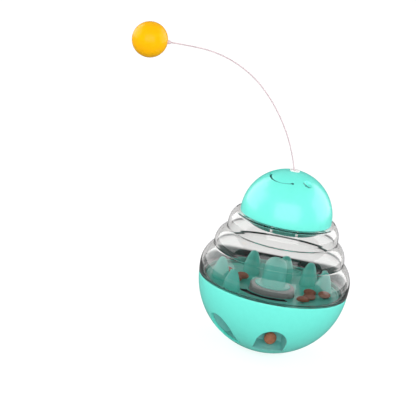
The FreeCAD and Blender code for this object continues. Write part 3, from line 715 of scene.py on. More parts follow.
@dataclass
class BaseBowl(Assembly):
    """Weighted bowl with ballast cup, screw bosses, groove for the dome's lugs and two arched outlets."""

    wall: float = 2.4
    ledge_width: float = 2.3
    lip: float = 1.6
    groove: float = 2.2
    groove_depth: float = 1.2
    slot_width: float = 15.0
    slot_azimuths: Azimuths = (55.0, 175.0, 295.0)
    cup_radius: float = 14.3
    cup_wall: float = 1.9
    cup_floor: float = 3.4
    cup_top: float = 33.0
    cover_boss: tuple[float, float] = (3.4, 19.2)
    cover_azimuths: Azimuths = (-10.75, 69.25, 149.25)
    cover_seat: float = 35.0
    tray_boss: float = 3.6
    tray_boss_drop: float = 1.67
    pilot: tuple[float, float] = (1.1, 11.0)
    outlet_radius: float = 13.2
    outlet_height: float = 22.3
    outlet_sill: float = 11.4
    outlet_back: float = 18.6
    ramp_slope: float = 10.0
    outlet_azimuths: Azimuths = (-82.5, -139.0)
    skin: float = 0.2

    @property
    def fall(self) -> float:
        """Fall of the outlets' ramp per millimetre outwards."""
        return math.tan(math.radians(self.ramp_slope))

    def ramp_at(self, distance: float) -> float:
        """Height of the outlets' ramp at a distance from the axis.

        Args:
            distance: the distance.

        Returns:
            The height.
        """
        sill = self.outlet_height - self.outlet_sill
        toe = rise(self.layout.bowl_radius, self.layout.centre - sill)
        return sill + (toe - distance) * self.fall

    def half_section(self) -> Line:
        """Outside from the foot to the rim, then inside down to the cup's floor.

        Returns:
            The half-section.
        """
        plan, inner = self.layout, self.layout.bowl_radius - self.wall
        ledge_radius, cup = plan.bore - self.ledge_width, self.cup_radius + self.cup_wall
        deep, lip = plan.bore + self.groove_depth, plan.rim - self.lip
        line = Line().to(0, 0).to(plan.foot_radius, 0)
        line.arc(plan.rim_radius, plan.rim, plan.bowl_radius, step=2.0)
        line.to(plan.bore, plan.rim).to(plan.bore, lip).to(deep, lip).to(deep, lip - self.groove)
        line.to(plan.bore, lip - self.groove).to(plan.bore, plan.ledge)
        line.to(ledge_radius, plan.ledge).to(ledge_radius, plan.centre - rise(inner, ledge_radius))
        line.arc(cup, plan.centre - rise(inner, cup), inner, Turn.RIGHT)
        line.to(cup, self.cup_top).to(self.cup_radius, self.cup_top)
        return line.to(self.cup_radius, self.cup_floor).to(0, self.cup_floor)

    def boss_sets(self) -> tuple[tuple[float, float, Azimuths, float], ...]:
        """Radius, ring, azimuths and top of the cover's bosses and of the tray's bosses."""
        plan = self.layout
        return ((*self.cover_boss, self.cover_azimuths, self.cup_top),
                (self.tray_boss, plan.screw_ring, plan.screw_azimuths, plan.tray_floor - self.tray_boss_drop))

    def posts(self) -> Piece:
        """Screw bosses, trimmed to the bowl's wall.

        Returns:
            All six bosses as one object.
        """
        posts = gather([ring(rod("posts", radius, 0, top), distance, azimuths)
                        for radius, distance, azimuths, top in self.boss_sets()])
        limit = ball("post_limit", self.layout.bowl_radius - self.wall / 2, (0, 0, self.layout.centre))
        combine(posts, limit, Cut.KEEP_SHARED)
        return combine(posts, rod("cup_room", self.cup_radius, self.cup_floor, self.cup_top + OVER, 144))

    def holes(self) -> Piece:
        """Pilot holes of the six bosses.

        Returns:
            The holes' solids as one object.
        """
        radius, depth = self.pilot
        return gather([ring(rod("pilots", radius, top - depth, top + OVER, 24), distance, azimuths)
                       for _, distance, azimuths, top in self.boss_sets()])

    def outlet(self) -> Piece:
        """Space of one outlet along +X: an arch pulled out along +Y, whose floor then falls outwards.

        Returns:
            The outlet's solid.
        """
        reach, back = self.layout.bowl_radius, self.ramp_at(self.outlet_back)
        arch = Line().to(self.outlet_radius, back).to(self.outlet_radius, self.outlet_height)
        arch.arc(-self.outlet_radius, self.outlet_height, self.outlet_radius, step=2.5)
        draw("outlet", arch.to(-self.outlet_radius, back))
        bpy.ops.mesh.edge_face_add()
        bpy.ops.mesh.extrude_region_move(TRANSFORM_OT_translate={"value": (0, reach * MM, 0)})
        piece = close_up()
        bpy.ops.object.mode_set(mode="EDIT")
        bpy.ops.mesh.select_all(action="DESELECT")
        bpy.ops.object.mode_set(mode="OBJECT")
        for point in piece.data.vertices:
            point.select = point.co.z < (back + 0.01) * MM and point.co.y > reach / 2 * MM
        bpy.ops.object.mode_set(mode="EDIT")
        bpy.ops.transform.translate(value=(0, 0, -reach * self.fall * MM))
        bpy.ops.object.mode_set(mode="OBJECT")
        place(piece, Matrix.Rotation(math.radians(-90), 4, "Z"))
        return swing(piece, self.outlet_back, 0)

    def in_outlet(self, spot: Vector) -> bool:
        """Tell whether a face lies inside the bowl on the front outlet's side, no higher than the outlets:
        these faces get painted shade.

        Args:
            spot: the face's centre.

        Returns:
            True for faces inside.
        """
        low = spot.z < self.outlet_height + self.outlet_radius + self.skin
        depth = self.layout.bowl_radius - (spot - Vector((0, 0, self.layout.centre))).length
        between = sum(self.outlet_azimuths) / 2
        front = spot.dot(toward(between + 90, 1.0)) > 0
        return low and front and depth > self.skin and math.hypot(spot.x, spot.y) > self.outlet_back

    def build(self) -> None:
        """Turn the bowl, raise its bosses, cut its outlets and dress it."""
        plan = self.layout
        bowl = turned("weighted_bowl", self.half_section(), closed=False, steps=180)
        round_edges(bowl, width=0.35, angle=40.0, segments=2)
        combine(bowl, self.posts(), Cut.JOIN)
        combine(bowl, self.holes())
        slot = box("lug_slots", (plan.bore - self.ledge_width, -self.slot_width / 2,
                                 plan.rim - self.lip - self.groove / 2),
                   (plan.bore + self.groove_depth, self.slot_width / 2, plan.rim + OVER))
        combine(bowl, ring(slot, 0, self.slot_azimuths))
        outlet = self.outlet()
        for azimuth in self.outlet_azimuths:
            combine(bowl, swing(copied(outlet), 0, azimuth))
        bpy.data.objects.remove(outlet)
        deliver(bowl, Body.BASE, "base_bowl", self.shelf.teal)
        # Painted shade on the inside of the outlets on the front side.
        tint(bowl, self.shelf.outlet_shade_teal, self.in_outlet)


@dataclass
class FeederTray(Assembly):
    """Dished tray with bullet-shaped pillars, a hole for the rotor and a drop opening."""

    clearance: float = 0.3
    flange: float = 1.0
    thick: float = 2.0
    step: float = 2.9
    wall: float = 1.8
    wall_height: float = 7.4
    floor_rise: float = 5.3
    hole: float = 20.2
    drop: tuple[float, float] = (22.4, 31.0)
    drop_azimuth: float = -110.75
    drop_span: float = 100.0
    drop_cut: tuple[float, float] = (4.0, 2.0)
    flat_radius: float = 31.6
    pillar_radius: float = 7.75
    pillar_margin: float = 3.25
    pillar_height: float = 19.9
    pillar_tip: tuple[float, float] = (2.9, 1.4)
    pillar_bend: float = 45.0
    pillar_wall: float = 1.6
    pillar_azimuths: Azimuths = (17.0, 47.0, 78.0, 115.0, 178.0, 220.0)
    pad: tuple[float, float] = (3.6, 1.0)
    pad_bite: float = 0.4
    head_pocket: tuple[float, float] = (3.4, 8.0)
    screw_hole: tuple[float, float] = (1.35, 3.0)
    skin: float = 0.1
    turn_skin: float = 0.5

    @property
    def wall_inner(self) -> float:
        """Radius inside the tray's wall."""
        return self.layout.bore - self.step - self.wall

    @property
    def slope(self) -> float:
        """Rise of the dished floor per millimetre outwards."""
        return self.floor_rise / (self.wall_inner - self.flat_radius)

    @property
    def pillar_ring(self) -> float:
        """Distance of the pillars from the axis."""
        return self.wall_inner - self.pillar_radius - self.pillar_margin

    @property
    def screw_seat(self) -> float:
        """Height at which the screws' heads sit."""
        return self.floor_at(self.layout.screw_ring) - self.thick

    def floor_at(self, distance: float) -> float:
        """Height of the floor at a distance from the axis."""
        return self.layout.tray_floor + max(distance - self.flat_radius, 0) * self.slope

    def half_section(self) -> Line:
        """The tray without pillars or openings, from the rotor's hole out and back.

        Returns:
            The half-section.
        """
        floor, ledge, inner = self.layout.tray_floor, self.layout.ledge, self.wall_inner
        edge, outer = self.layout.bore - self.clearance, self.layout.bore - self.step
        line = Line().to(self.hole, floor - self.thick).to(self.flat_radius, floor - self.thick)
        line.to(inner, floor + self.floor_rise - self.thick).to(inner, ledge).to(edge, ledge)
        line.to(edge, ledge + self.flange).to(outer, ledge + self.flange)
        line.to(outer, ledge + self.wall_height).to(inner, ledge + self.wall_height)
        return line.to(inner, floor + self.floor_rise).to(self.flat_radius, floor).to(self.hole, floor)

    def bullet(self, name: str, inset: float) -> Piece:
        """A pillar, or the space inside it.

        Args:
            name: name of the piece.
            inset: how far inside the pillar's surface it lies.

        Returns:
            The bullet on the axis.
        """
        floor, (tip, tip_height) = self.floor_at(self.pillar_ring), self.pillar_tip
        radius, peak = self.pillar_radius - inset, floor + self.pillar_height - inset
        bend = (tip ** 2 + tip_height ** 2) / (2 * tip_height)
        low = floor - self.thick - inset
        line = Line().to(0, low).to(radius, low).to(radius, floor)
        line.arc(tip, peak - tip_height, self.pillar_bend - inset)
        return turned(name, line.arc(0, peak, bend, step=8.0), closed=False, steps=64)

    def opening(self) -> Piece:
        """The drop opening's solid.

        Returns:
            A slice of a ring.
        """
        (inner, outer), (below, above), floor = self.drop, self.drop_cut, self.layout.tray_floor
        low, high = floor - below, floor + above
        line = Line().to(inner, low).to(outer, low).to(outer, high).to(inner, high)
        return sector("drop_opening", line, self.drop_azimuth, self.drop_span)

    def in_opening(self, spot: Vector) -> bool:
        """Tell whether a face belongs to the drop opening's cut edge, which gets painted shade.

        Args:
            spot: the face's centre.

        Returns:
            True for the cut faces.
        """
        (inner, outer), floor, skin = self.drop, self.layout.tray_floor, self.skin
        turn = (math.degrees(math.atan2(spot.y, spot.x)) - self.drop_azimuth + 180) % 360 - 180
        level = floor - self.thick + skin < spot.z < floor - skin
        across = inner - skin < math.hypot(spot.x, spot.y) < outer + skin
        return level and across and abs(turn) < self.drop_span / 2 + self.turn_skin

    def build(self) -> None:
        """Turn the pan, stand the pillars on it, open it and dress it."""
        seat, (pad_radius, pad_height) = self.screw_seat, self.pad
        (pocket, pocket_height), (hole, hole_depth) = self.head_pocket, self.screw_hole
        tray = turned("feeding_tray", self.half_section())
        round_edges(tray, width=0.4, angle=50.0)
        pillars = (self.pillar_ring, self.pillar_azimuths)
        screws = (self.layout.screw_ring, self.layout.screw_azimuths)
        for tool, places, way in (
                (self.bullet("pillars", 0.0), pillars, Cut.JOIN),
                (rod("pads", pad_radius, seat - pad_height, seat + self.pad_bite), screws, Cut.JOIN),
                (self.bullet("hollows", self.pillar_wall), pillars, Cut.TAKE_OUT),
                (rod("pockets", pocket, seat, seat + pocket_height), screws, Cut.TAKE_OUT),
                (rod("holes", hole, seat - hole_depth, seat + OVER, 24), screws, Cut.TAKE_OUT)):
            combine(tray, ring(tool, *places), way)
        combine(tray, self.opening())
        deliver(tray, Body.BASE, "feeder_tray", self.shelf.teal)
        # Painted shade on the drop opening's cut edge.
        tint(tray, self.shelf.dark, self.in_opening)


@dataclass
class MeteringRotor(Assembly):
    """Smoky rotor whose shutter opens the drop opening."""

    radius: float = 19.5
    thick: float = 2.1
    wall: float = 1.8
    chamfer: float = 0.6
    bore: float = 4.05
    socket: float = 6.2
    socket_bottom: float = 46.2
    hole: float = 1.35
    shutter_radius: float = 32.0
    shutter: tuple[float, float] = (48.0, 49.7)
    window_span: float = 104.0
    window_azimuth: float = -215.75
    shade_gap: float = 0.3

    def build(self) -> None:
        """Turn the rotor, cut its window and dress it."""
        top, edge, (low, high) = self.layout.rotor_top, self.shutter_radius, self.shutter
        under, inner = top - self.thick, self.radius - self.wall
        line = Line().to(self.hole, under).to(self.bore, under).to(self.bore, self.socket_bottom)
        line.to(self.socket, self.socket_bottom).to(self.socket, under).to(inner, under).to(inner, low)
        line.to(edge, low).to(edge, high).to(self.radius, high)
        line.to(self.radius, top - self.chamfer).to(self.radius - self.chamfer, top)
        rotor = turned("smoky_rotor", line.to(self.hole, top))
        round_edges(rotor, width=0.2, angle=40.0, segments=2)
        start, end, low, high = self.radius + OVER, edge + OVER, low - OVER, high + OVER
        window = Line().to(start, low).to(end, low).to(end, high).to(start, high)
        combine(rotor, sector("shutter_window", window, self.window_azimuth, self.window_span))
        deliver(rotor, Body.ROTOR, "metering_rotor", self.shelf.smoky)
        # Painted shade: the shutter beyond the rotor's disc is darkened.
        tint(rotor, self.shelf.dark, lambda spot: math.hypot(spot.x, spot.y) > self.radius + self.shade_gap)


@dataclass
class ControlKnob(Assembly):
    """Hollow bell-shaped knob on the rotor."""

    flange: tuple[float, float] = (15.5, 1.3)
    foot: float = 10.8
    shoulder: float = 9.5
    height: float = 25.4
    round_height: float = 8.6
    round_radius: float = 9.0
    top: float = 1.4
    wall: float = 1.8
    boss: float = 3.5
    crown: float = 3.8
    pilot: tuple[float, float] = (1.1, 11.0)

    def build(self) -> None:
        """Turn the knob, hollow it and dress it."""
        base, (reach, thick), (radius, depth) = self.layout.rotor_top, self.flange, self.pilot
        peak = base + self.height
        line = Line().to(0, base).to(reach, base).to(reach, base + thick).to(self.foot, base + thick)
        line.to(self.shoulder, peak - self.round_height).arc(self.top, peak, self.round_radius).to(0, peak)
        knob = turned("bell_knob", line, closed=False, steps=96)
        round_edges(knob, width=0.4, angle=45.0)
        line = Line().to(self.boss, base - OVER).to(self.foot - self.wall, base - OVER)
        line.to(self.shoulder - self.wall, peak - self.round_height).to(self.boss, peak - self.crown)
        combine(knob, turned("knob_hollow", line, steps=96))
        combine(knob, rod("knob_pilot", radius, base - OVER, base + depth, 24))
        deliver(knob, Body.ROTOR, "control_knob", self.shelf.teal)


@dataclass
class Screws(Assembly):
    """A set of pan-head screws with crossed slots."""

    name: str
    distance: float
    azimuths: Azimuths
    seat: float
    length: float = 9.0
    head: tuple[float, float] = (2.8, 1.8)
    edge: float = 0.8
    crown: float = 1.75
    shank: float = 1.0
    tip: float = 0.3
    slot: tuple[float, float] = (0.7, 0.8)

    def build(self) -> None:
        """Turn one screw, cut its slots, repeat it and dress the set."""
        (radius, height), (width, depth) = self.head, self.slot
        line = Line().to(0, -self.length).to(self.tip, -self.length)
        line.to(self.shank, self.shank - self.length).to(self.shank, 0).to(radius, 0)
        line.to(radius, self.edge).to(self.crown, height).to(0, height)
        screw = turned(self.name + "_slotted", line, closed=False, steps=32)
        for across, along in ((width, self.crown * 2), (self.crown * 2, width)):
            combine(screw, box("slot", (-across / 2, -along / 2, height - depth),
                               (across / 2, along / 2, height + OVER)))
        swing(screw, 0, 0, self.seat)
        screws = ring(screw, self.distance, self.azimuths)
        deliver(screws, Body.BASE, self.name, self.shelf.steel)


@dataclass
class Kibble(Assembly):
    """Lumpy lens-shaped kibble on the tray, and one piece in the front outlet."""

    tray: FeederTray
    bowl: BaseBowl
    radius: float = 5.6
    half: float = 3.0
    gap: float = 0.1
    lumps: float = 0.35
    lump_size: float = 3.0
    lump_level: float = 0.7
    rows: tuple[tuple[float, Azimuths], ...] = ((33.5, (-36.0, -12.0, 9.0, 142.7, 165.0)),
                                                (45.5, (-3.0, 153.4)))
    fallen: tuple[float, float] = (26.0, -77.2)

    def roughen(self, piece: Piece) -> None:
        """Give every piece its own lumps.

        Args:
            piece: all the kibble, in place.
        """
        clouds = bpy.data.textures.new("kibble_lumps", "CLOUDS")
        clouds.noise_scale = self.lump_size * MM
        modify(piece, "DISPLACE", texture=clouds, texture_coords="GLOBAL", strength=self.lumps * MM,
               mid_level=self.lump_level)

    def build(self) -> None:
        """Lay the kibble on the tray, stand one on edge in the outlet, and dress them."""
        lens = ball("kibble", self.radius, sides=(40, 24), flatness=self.half / self.radius)
        lift = math.hypot(self.half, self.radius * self.tray.slope) + self.gap
        pieces = [swing(copied(lens), distance, azimuth, self.tray.floor_at(distance) + lift)
                  for distance, azimuths in self.rows for azimuth in azimuths]
        distance, azimuth = self.fallen
        lift = math.hypot(self.radius, self.half * self.bowl.fall) + self.gap
        place(lens, Matrix.Rotation(math.radians(90), 4, "Y"))
        pieces.append(swing(lens, distance, azimuth, self.bowl.ramp_at(distance) + lift))
        kibble = gather(pieces)
        self.roughen(kibble)
        deliver(kibble, Body.BASE, "treats", self.shelf.kibble, 60.0)


@dataclass
class Tier:
    """One bulge of the dome's wall: distance and height of its centre above the rim, and its radius."""

    across: float
    up: float
    radius: float

    def wall(self, inset: float = 0.0) -> float:
        """Largest radius of the bulge, at an inset from its outer surface."""
        return self.across + self.radius - inset


@dataclass
class ClearDome(Assembly):
    """Clear dome of three round tiers, with its skirt and lugs and the neck for the cap."""

    wall: float = 1.9
    tiers: tuple[Tier, ...] = (Tier(40.79, 8.21, 24.61), Tier(39.77, 29.39, 16.93), Tier(32.08, 48.57, 15.89))
    neck: float = 28.95
    neck_wall: float = 2.05
    neck_depth: float = 7.9
    seat: float = 0.15
    foot: float = 1.6
    skirt_clearance: float = 0.3
    skirt_wall: float = 1.8
    skirt_gap: float = 1.3
    lug: tuple[float, float, float] = (1.0, 12.0, 1.6)
    lug_drop: float = 3.5
    lug_azimuths: Azimuths = (30.0, 150.0, 270.0)

    def surface(self, inset: float, crown: float) -> list[tuple[float, float]]:
        """Follow the tiers from the lowest bulge up to the dome's top.

        Args:
            inset: how far inside the outer surface.
            crown: height of the top surface at this inset.

        Returns:
            The points.
        """
        line = Line()
        for index, tier in enumerate(self.tiers):
            radius, height = tier.radius - inset, self.layout.rim + tier.up
            line.to(tier.wall(inset), height)
            if index + 1 < len(self.tiers):
                reach = self.tiers[index + 1].wall(inset)
                line.arc(reach, height + rise(radius, reach - tier.across), radius)
            else:
                line.arc(tier.across + rise(radius, crown - height), crown, radius)
        return line.points

    def half_section(self) -> Line:
        """Outer wall up to the cap's ledge, neck, and inner wall down to the skirt.

        Returns:
            The half-section.
        """
        plan, low = self.layout, self.tiers[0]
        top, seat, skirt = plan.dome_top, plan.rim + self.seat, plan.bore - self.skirt_clearance
        line = Line().to(skirt, seat).to(plan.rim_radius, seat)
        lean, up = low.wall() - plan.rim_radius, low.up - self.seat
        line.arc(low.wall(), plan.rim + low.up, (lean ** 2 + up ** 2) / (2 * lean))
        line.points += self.surface(0.0, top)[1:]
        neck_outer, neck_end = self.neck + self.neck_wall, top - self.neck_depth
        line.to(self.neck, top).to(self.neck, neck_end).to(neck_outer, neck_end)
        line.to(neck_outer, top - self.wall)
        line.points += self.surface(self.wall, top - self.wall)[::-1]
        inner, drop = low.radius - self.wall, up - self.foot
        line.arc(low.across + rise(inner, drop), seat + self.foot, inner, Turn.RIGHT)
        line.to(skirt - self.skirt_wall, seat + self.foot / 2)
        end = plan.ledge + self.skirt_gap
        return line.to(skirt - self.skirt_wall, end).to(skirt, end)

    def build(self) -> None:
        """Turn the dome, soften its valleys, raise its lugs and dress it."""
        dome = turned("clear_dome", self.half_section(), steps=180)
        round_edges(dome, width=0.6, angle=24.0, segments=4)
        reach, width, height = self.lug
        skirt, low = self.layout.bore - self.skirt_clearance, self.layout.rim - self.lug_drop
        lug = box("lugs", (skirt - self.skirt_wall / 2, -width / 2, low),
                  (skirt + reach, width / 2, low + height))
        combine(dome, ring(lug, 0, self.lug_azimuths), Cut.JOIN)
        deliver(dome, Body.SHELL, "clear_shell", self.shelf.clear, 40.0)


@dataclass
class TopCap(Assembly):
    """Round cap with an inner skirt, a crescent thumb recess, a finger dimple and the plug's boss."""

    radius: float = 39.59
    centre_rise: float = 1.84
    wall: float = 2.2
    plug_seat: float = 4.6
    plug_bore: float = 3.55
    boss: float = 6.3
    boss_depth: float = 13.5
    skirt: float = 28.7
    skirt_wall: float = 1.8
    skirt_depth: float = 9.0
    slot: tuple[float, float] = (3.0, 6.7)
    slot_azimuths: Azimuths = (22.5, 67.5, 112.5, 157.5)
    recess: tuple[float, float, float] = (16.6, 6.7, -127.0)
    recess_shift: float = 2.2
    dimple_radius: float = 4.8
    dimple_depth: float = 2.6
    dimple_wall: float = 1.4
    dimple_azimuth: float = -51.3
    dimple_tilt: float = 30.6
    dimple_shade: tuple[float, float, float] = (-0.45, -0.35, -0.82)
    shade_start: float = 2.7
    groove: tuple[float, float] = (1.9, 1.95)
    groove_ends: tuple[float, float] = (176.0, 283.0)
    groove_top: float = 1.35
    well: float = 1.5
    well_span: float = 8.0
    skin: float = 0.05

    @property
    def centre(self) -> float:
        """Height of the cap's centre."""
        return self.layout.cap_bottom + self.centre_rise

    @property
    def dimple_centre(self) -> tuple[float, float]:
        """Distance from the axis and height of the dimple's centre."""
        reach, tilt = self.radius + self.dimple_radius - self.dimple_depth, math.radians(self.dimple_tilt)
        return reach * math.sin(tilt), self.centre + reach * math.cos(tilt)

    def half_section(self) -> Line:
        """Boss, ceiling, skirt, rim and outside, as one loop.

        Returns:
            The half-section.
        """
        centre, inner, bottom = self.centre, self.radius - self.wall, self.layout.cap_bottom
        seat, bore = centre + rise(self.radius, self.plug_seat), self.skirt - self.skirt_wall
        line = Line().to(self.plug_bore, seat - self.boss_depth).to(self.boss, seat - self.boss_depth)
        line.to(self.boss, centre + rise(inner, self.boss))
        line.arc(bore, centre + rise(inner, bore), inner, Turn.RIGHT)
        line.to(bore, bottom - self.skirt_depth).to(self.skirt, bottom - self.skirt_depth)
        line.to(self.skirt, centre + rise(inner, self.skirt))
        line.arc(rise(inner, self.centre_rise), bottom, inner, Turn.RIGHT)
        line.to(rise(self.radius, self.centre_rise), bottom)
        return line.arc(self.plug_seat, seat, self.radius, step=2.0).to(self.plug_bore, seat)

    def thumb_recess(self) -> Piece:
        """Solid of the crescent recess: a round room above a floor that is shifted sideways.

        Returns:
            The solid to cut out.
        """
        radius, offset, azimuth = self.recess
        room = rod("thumb_recess", radius, self.centre, self.centre + self.radius + OVER, 128)
        floor = ball("recess_floor", self.radius, toward(azimuth, -self.recess_shift, self.centre))
        return combine(swing(room, offset, azimuth), floor)

    def edge_groove(self) -> Piece:
        """Solid of the groove along the recess's front edge, with a small well at each end.

        Returns:
            The solid to cut out.
        """
        radius, offset, azimuth = self.recess
        (width, depth), (first, last) = self.groove, self.groove_ends
        low, high = self.centre, self.centre + self.radius + OVER
        line = Line().to(radius - width, low).to(radius, low).to(radius, high).to(radius - width, high)
        groove = sector("edge_groove", line, (first + last) / 2, last - first)
        for end in (first, last):
            combine(groove, swing(rod("well", self.well, low, high), radius - width / 2, end), Cut.JOIN)
        place(groove, Matrix.Translation(toward(azimuth, offset) * MM))
        return combine(groove, ball("groove_bed", self.radius - depth, (0, 0, self.centre)))

    def in_groove(self, spot: Vector) -> bool:
        """Tell whether a face lies inside the groove.

        Args:
            spot: the face's centre.

        Returns:
            True inside the groove and its wells.
        """
        (radius, offset, azimuth), (width, bed), (first, last) = self.recess, self.groove, self.groove_ends
        side = (spot - toward(azimuth, offset)).to_2d()
        turn = math.degrees(math.atan2(side.y, side.x)) % 360
        depth = self.radius - (spot - Vector((0, 0, self.centre))).length
        along = first - self.well_span < turn < last + self.well_span
        near = abs(side.length - radius + width / 2) < self.well + self.skin
        return along and near and self.groove_top < depth < bed + self.skin

    def deep_shade(self, spot: Vector) -> bool:
        """Tell whether a face gets painted shade: on the skirt, or on the lower side of the dimple.

        Args:
            spot: the face's centre.

        Returns:
            True there.
        """
        way = spot - toward(self.dimple_azimuth, *self.dimple_centre)
        shaded = way.dot(Vector(self.dimple_shade)) > self.shade_start
        return shaded and way.length < self.dimple_radius + self.skin or spot.z < self.layout.cap_bottom

    def build(self) -> None:
        """Turn the cap, cut its recess, dimple and skirt slots, and dress it."""
        cap = turned("round_cap", self.half_section(), steps=180)
        round_edges(cap, width=0.35, angle=40.0, segments=2)
        distance, up = self.dimple_centre
        backing = ball("dimple_backing", self.dimple_radius + self.dimple_wall, (distance, 0, up))
        limit = ball("dimple_limit", self.radius - self.wall / 2, (0, 0, self.centre))
        combine(cap, combine(swing(backing, 0, self.dimple_azimuth), limit, Cut.KEEP_SHARED), Cut.JOIN)
        combine(cap, self.thumb_recess())
        combine(cap, self.edge_groove())
        dimple = ball("dimple", self.dimple_radius, (distance, 0, up))
        combine(cap, swing(dimple, 0, self.dimple_azimuth))
        reach, (width, height) = self.skirt + OVER, self.slot
        end = self.layout.cap_bottom - self.skirt_depth
        for azimuth in self.slot_azimuths:
            slot = box("skirt_slot", (-reach, -width / 2, end - OVER), (reach, width / 2, end + height))
            combine(cap, swing(slot, 0, azimuth))
        deliver(cap, Body.CAP, "top_cap", self.shelf.teal)
        # Painted shade: the groove's faces are darkened so that they read as a dark line.
        tint(cap, self.shelf.crease, self.in_groove)
        # Painted shade on the skirt and on the dimple's lower side.
        tint(cap, self.shelf.painted_shade_teal, self.deep_shade)


@dataclass
class Wand(Assembly):
    """White plug, bead and orange ball of the springy wire."""

    plug_flange: tuple[float, float] = (4.25, 1.0)
    plug_stem: float = 3.5
    barb: tuple[float, float] = (3.9, 1.6)
    lead: float = 0.4
    chamfer: float = 0.25
    funnel: tuple[float, float, float] = (2.6, 3.4, 0.95)
    ball: float = 15.3
    ball_wall: float = 1.2
    flat: float = 2.4
    wire: float = 0.6
    bead: tuple[float, float] = (1.6, 3.0)
    bead_shoulder: float = 0.6
    bead_end: float = 0.5
    bead_bend: float = 0.45

    def plug(self) -> None:
        """Turn the plug as high as the plain one, and dress it."""
        low, top = (corner[2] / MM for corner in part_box("wand_plug"))
        (reach, thick), (barb, barb_height), (mouth, depth, floor) = self.plug_flange, self.barb, self.funnel
        line = Line().to(0, low).to(self.plug_stem - self.lead, low).to(barb, low + barb_height)
        line.to(self.plug_stem, low + barb_height).to(self.plug_stem, top - thick).to(reach, top - thick)
        line.to(reach, top - self.chamfer).to(reach - self.chamfer, top).to(mouth, top)
        line.to(floor, top - depth).to(0, top - depth)
        plug = turned("white_plug", line, closed=False, steps=64)
        deliver(plug, Body.PLUG, "wand_plug", self.shelf.white)

    def build(self) -> None:
        """Make the plug, then the hollow ball and the bead, pointed along the wire, and dress them."""
        self.plug()
        low, high = (Vector(corner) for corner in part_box("wand_ball"))
        centre = Vector((low.x + self.ball * MM, 0, high.z - self.ball * MM))
        low, high = (Vector(corner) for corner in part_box("ball_collar"))
        way = ((low + high) / 2 - centre).normalized()
        aim = Matrix.Translation(centre) @ way.to_track_quat("Z", "Y").to_matrix().to_4x4()
        inside, flat = self.ball - self.ball_wall, rise(self.ball, self.flat)
        line = Line().to(self.wire, rise(inside, self.wire)).to(self.wire, flat).to(self.flat, flat)
        line.arc(self.ball, 0, self.ball, Turn.RIGHT, 4.0).arc(0, -self.ball, self.ball, Turn.RIGHT, 4.0)
        line.to(0, -inside).arc(inside, 0, inside, step=6.0)
        line.arc(self.wire, rise(inside, self.wire), inside, step=6.0)
        end_ball = place(turned("orange_ball", line, closed=False, steps=96), aim)
        deliver(end_ball, Body.WAND, "wand_ball", self.shelf.orange)
        radius, length = self.bead
        line = Line().to(self.wire, flat).to(radius, flat).to(radius, flat + length * self.bead_shoulder)
        line.arc(radius * self.bead_end, flat + length, length * self.bead_bend).to(self.wire, flat + length)
        bead = place(turned("wire_bead", line, steps=32), aim)
        deliver(bead, Body.WAND, "ball_collar", self.shelf.wire)


@dataclass(frozen=True)
class Lamp:
    """A soft box that faces the toy, out of sight of refracted rays: angles in degrees, lengths in metres."""

    name: str
    azimuth: float
    elevation: float
    distance: float
    size: tuple[float, float]
    brightness: float
    watts: float = 4.0

    def hang(self, aim: Vector) -> None:
        """Hang the lamp.

        Args:
            aim: the spot that it faces.
        """
        data = bpy.data.lights.new(self.name, "AREA")
        data.shape = "RECTANGLE"
        data.size, data.size_y = self.size
        data.energy = self.watts * data.size * data.size_y * self.brightness
        lamp = bpy.data.objects.new(self.name, data)
        bpy.context.scene.collection.objects.link(lamp)
        lift = math.radians(self.elevation)
        way = toward(self.azimuth - 90, math.cos(lift), math.sin(lift))
        lamp.location = aim + way * self.distance
        lamp.rotation_euler = (-way).to_track_quat("-Z", "Y").to_euler()
        lamp.visible_transmission = False


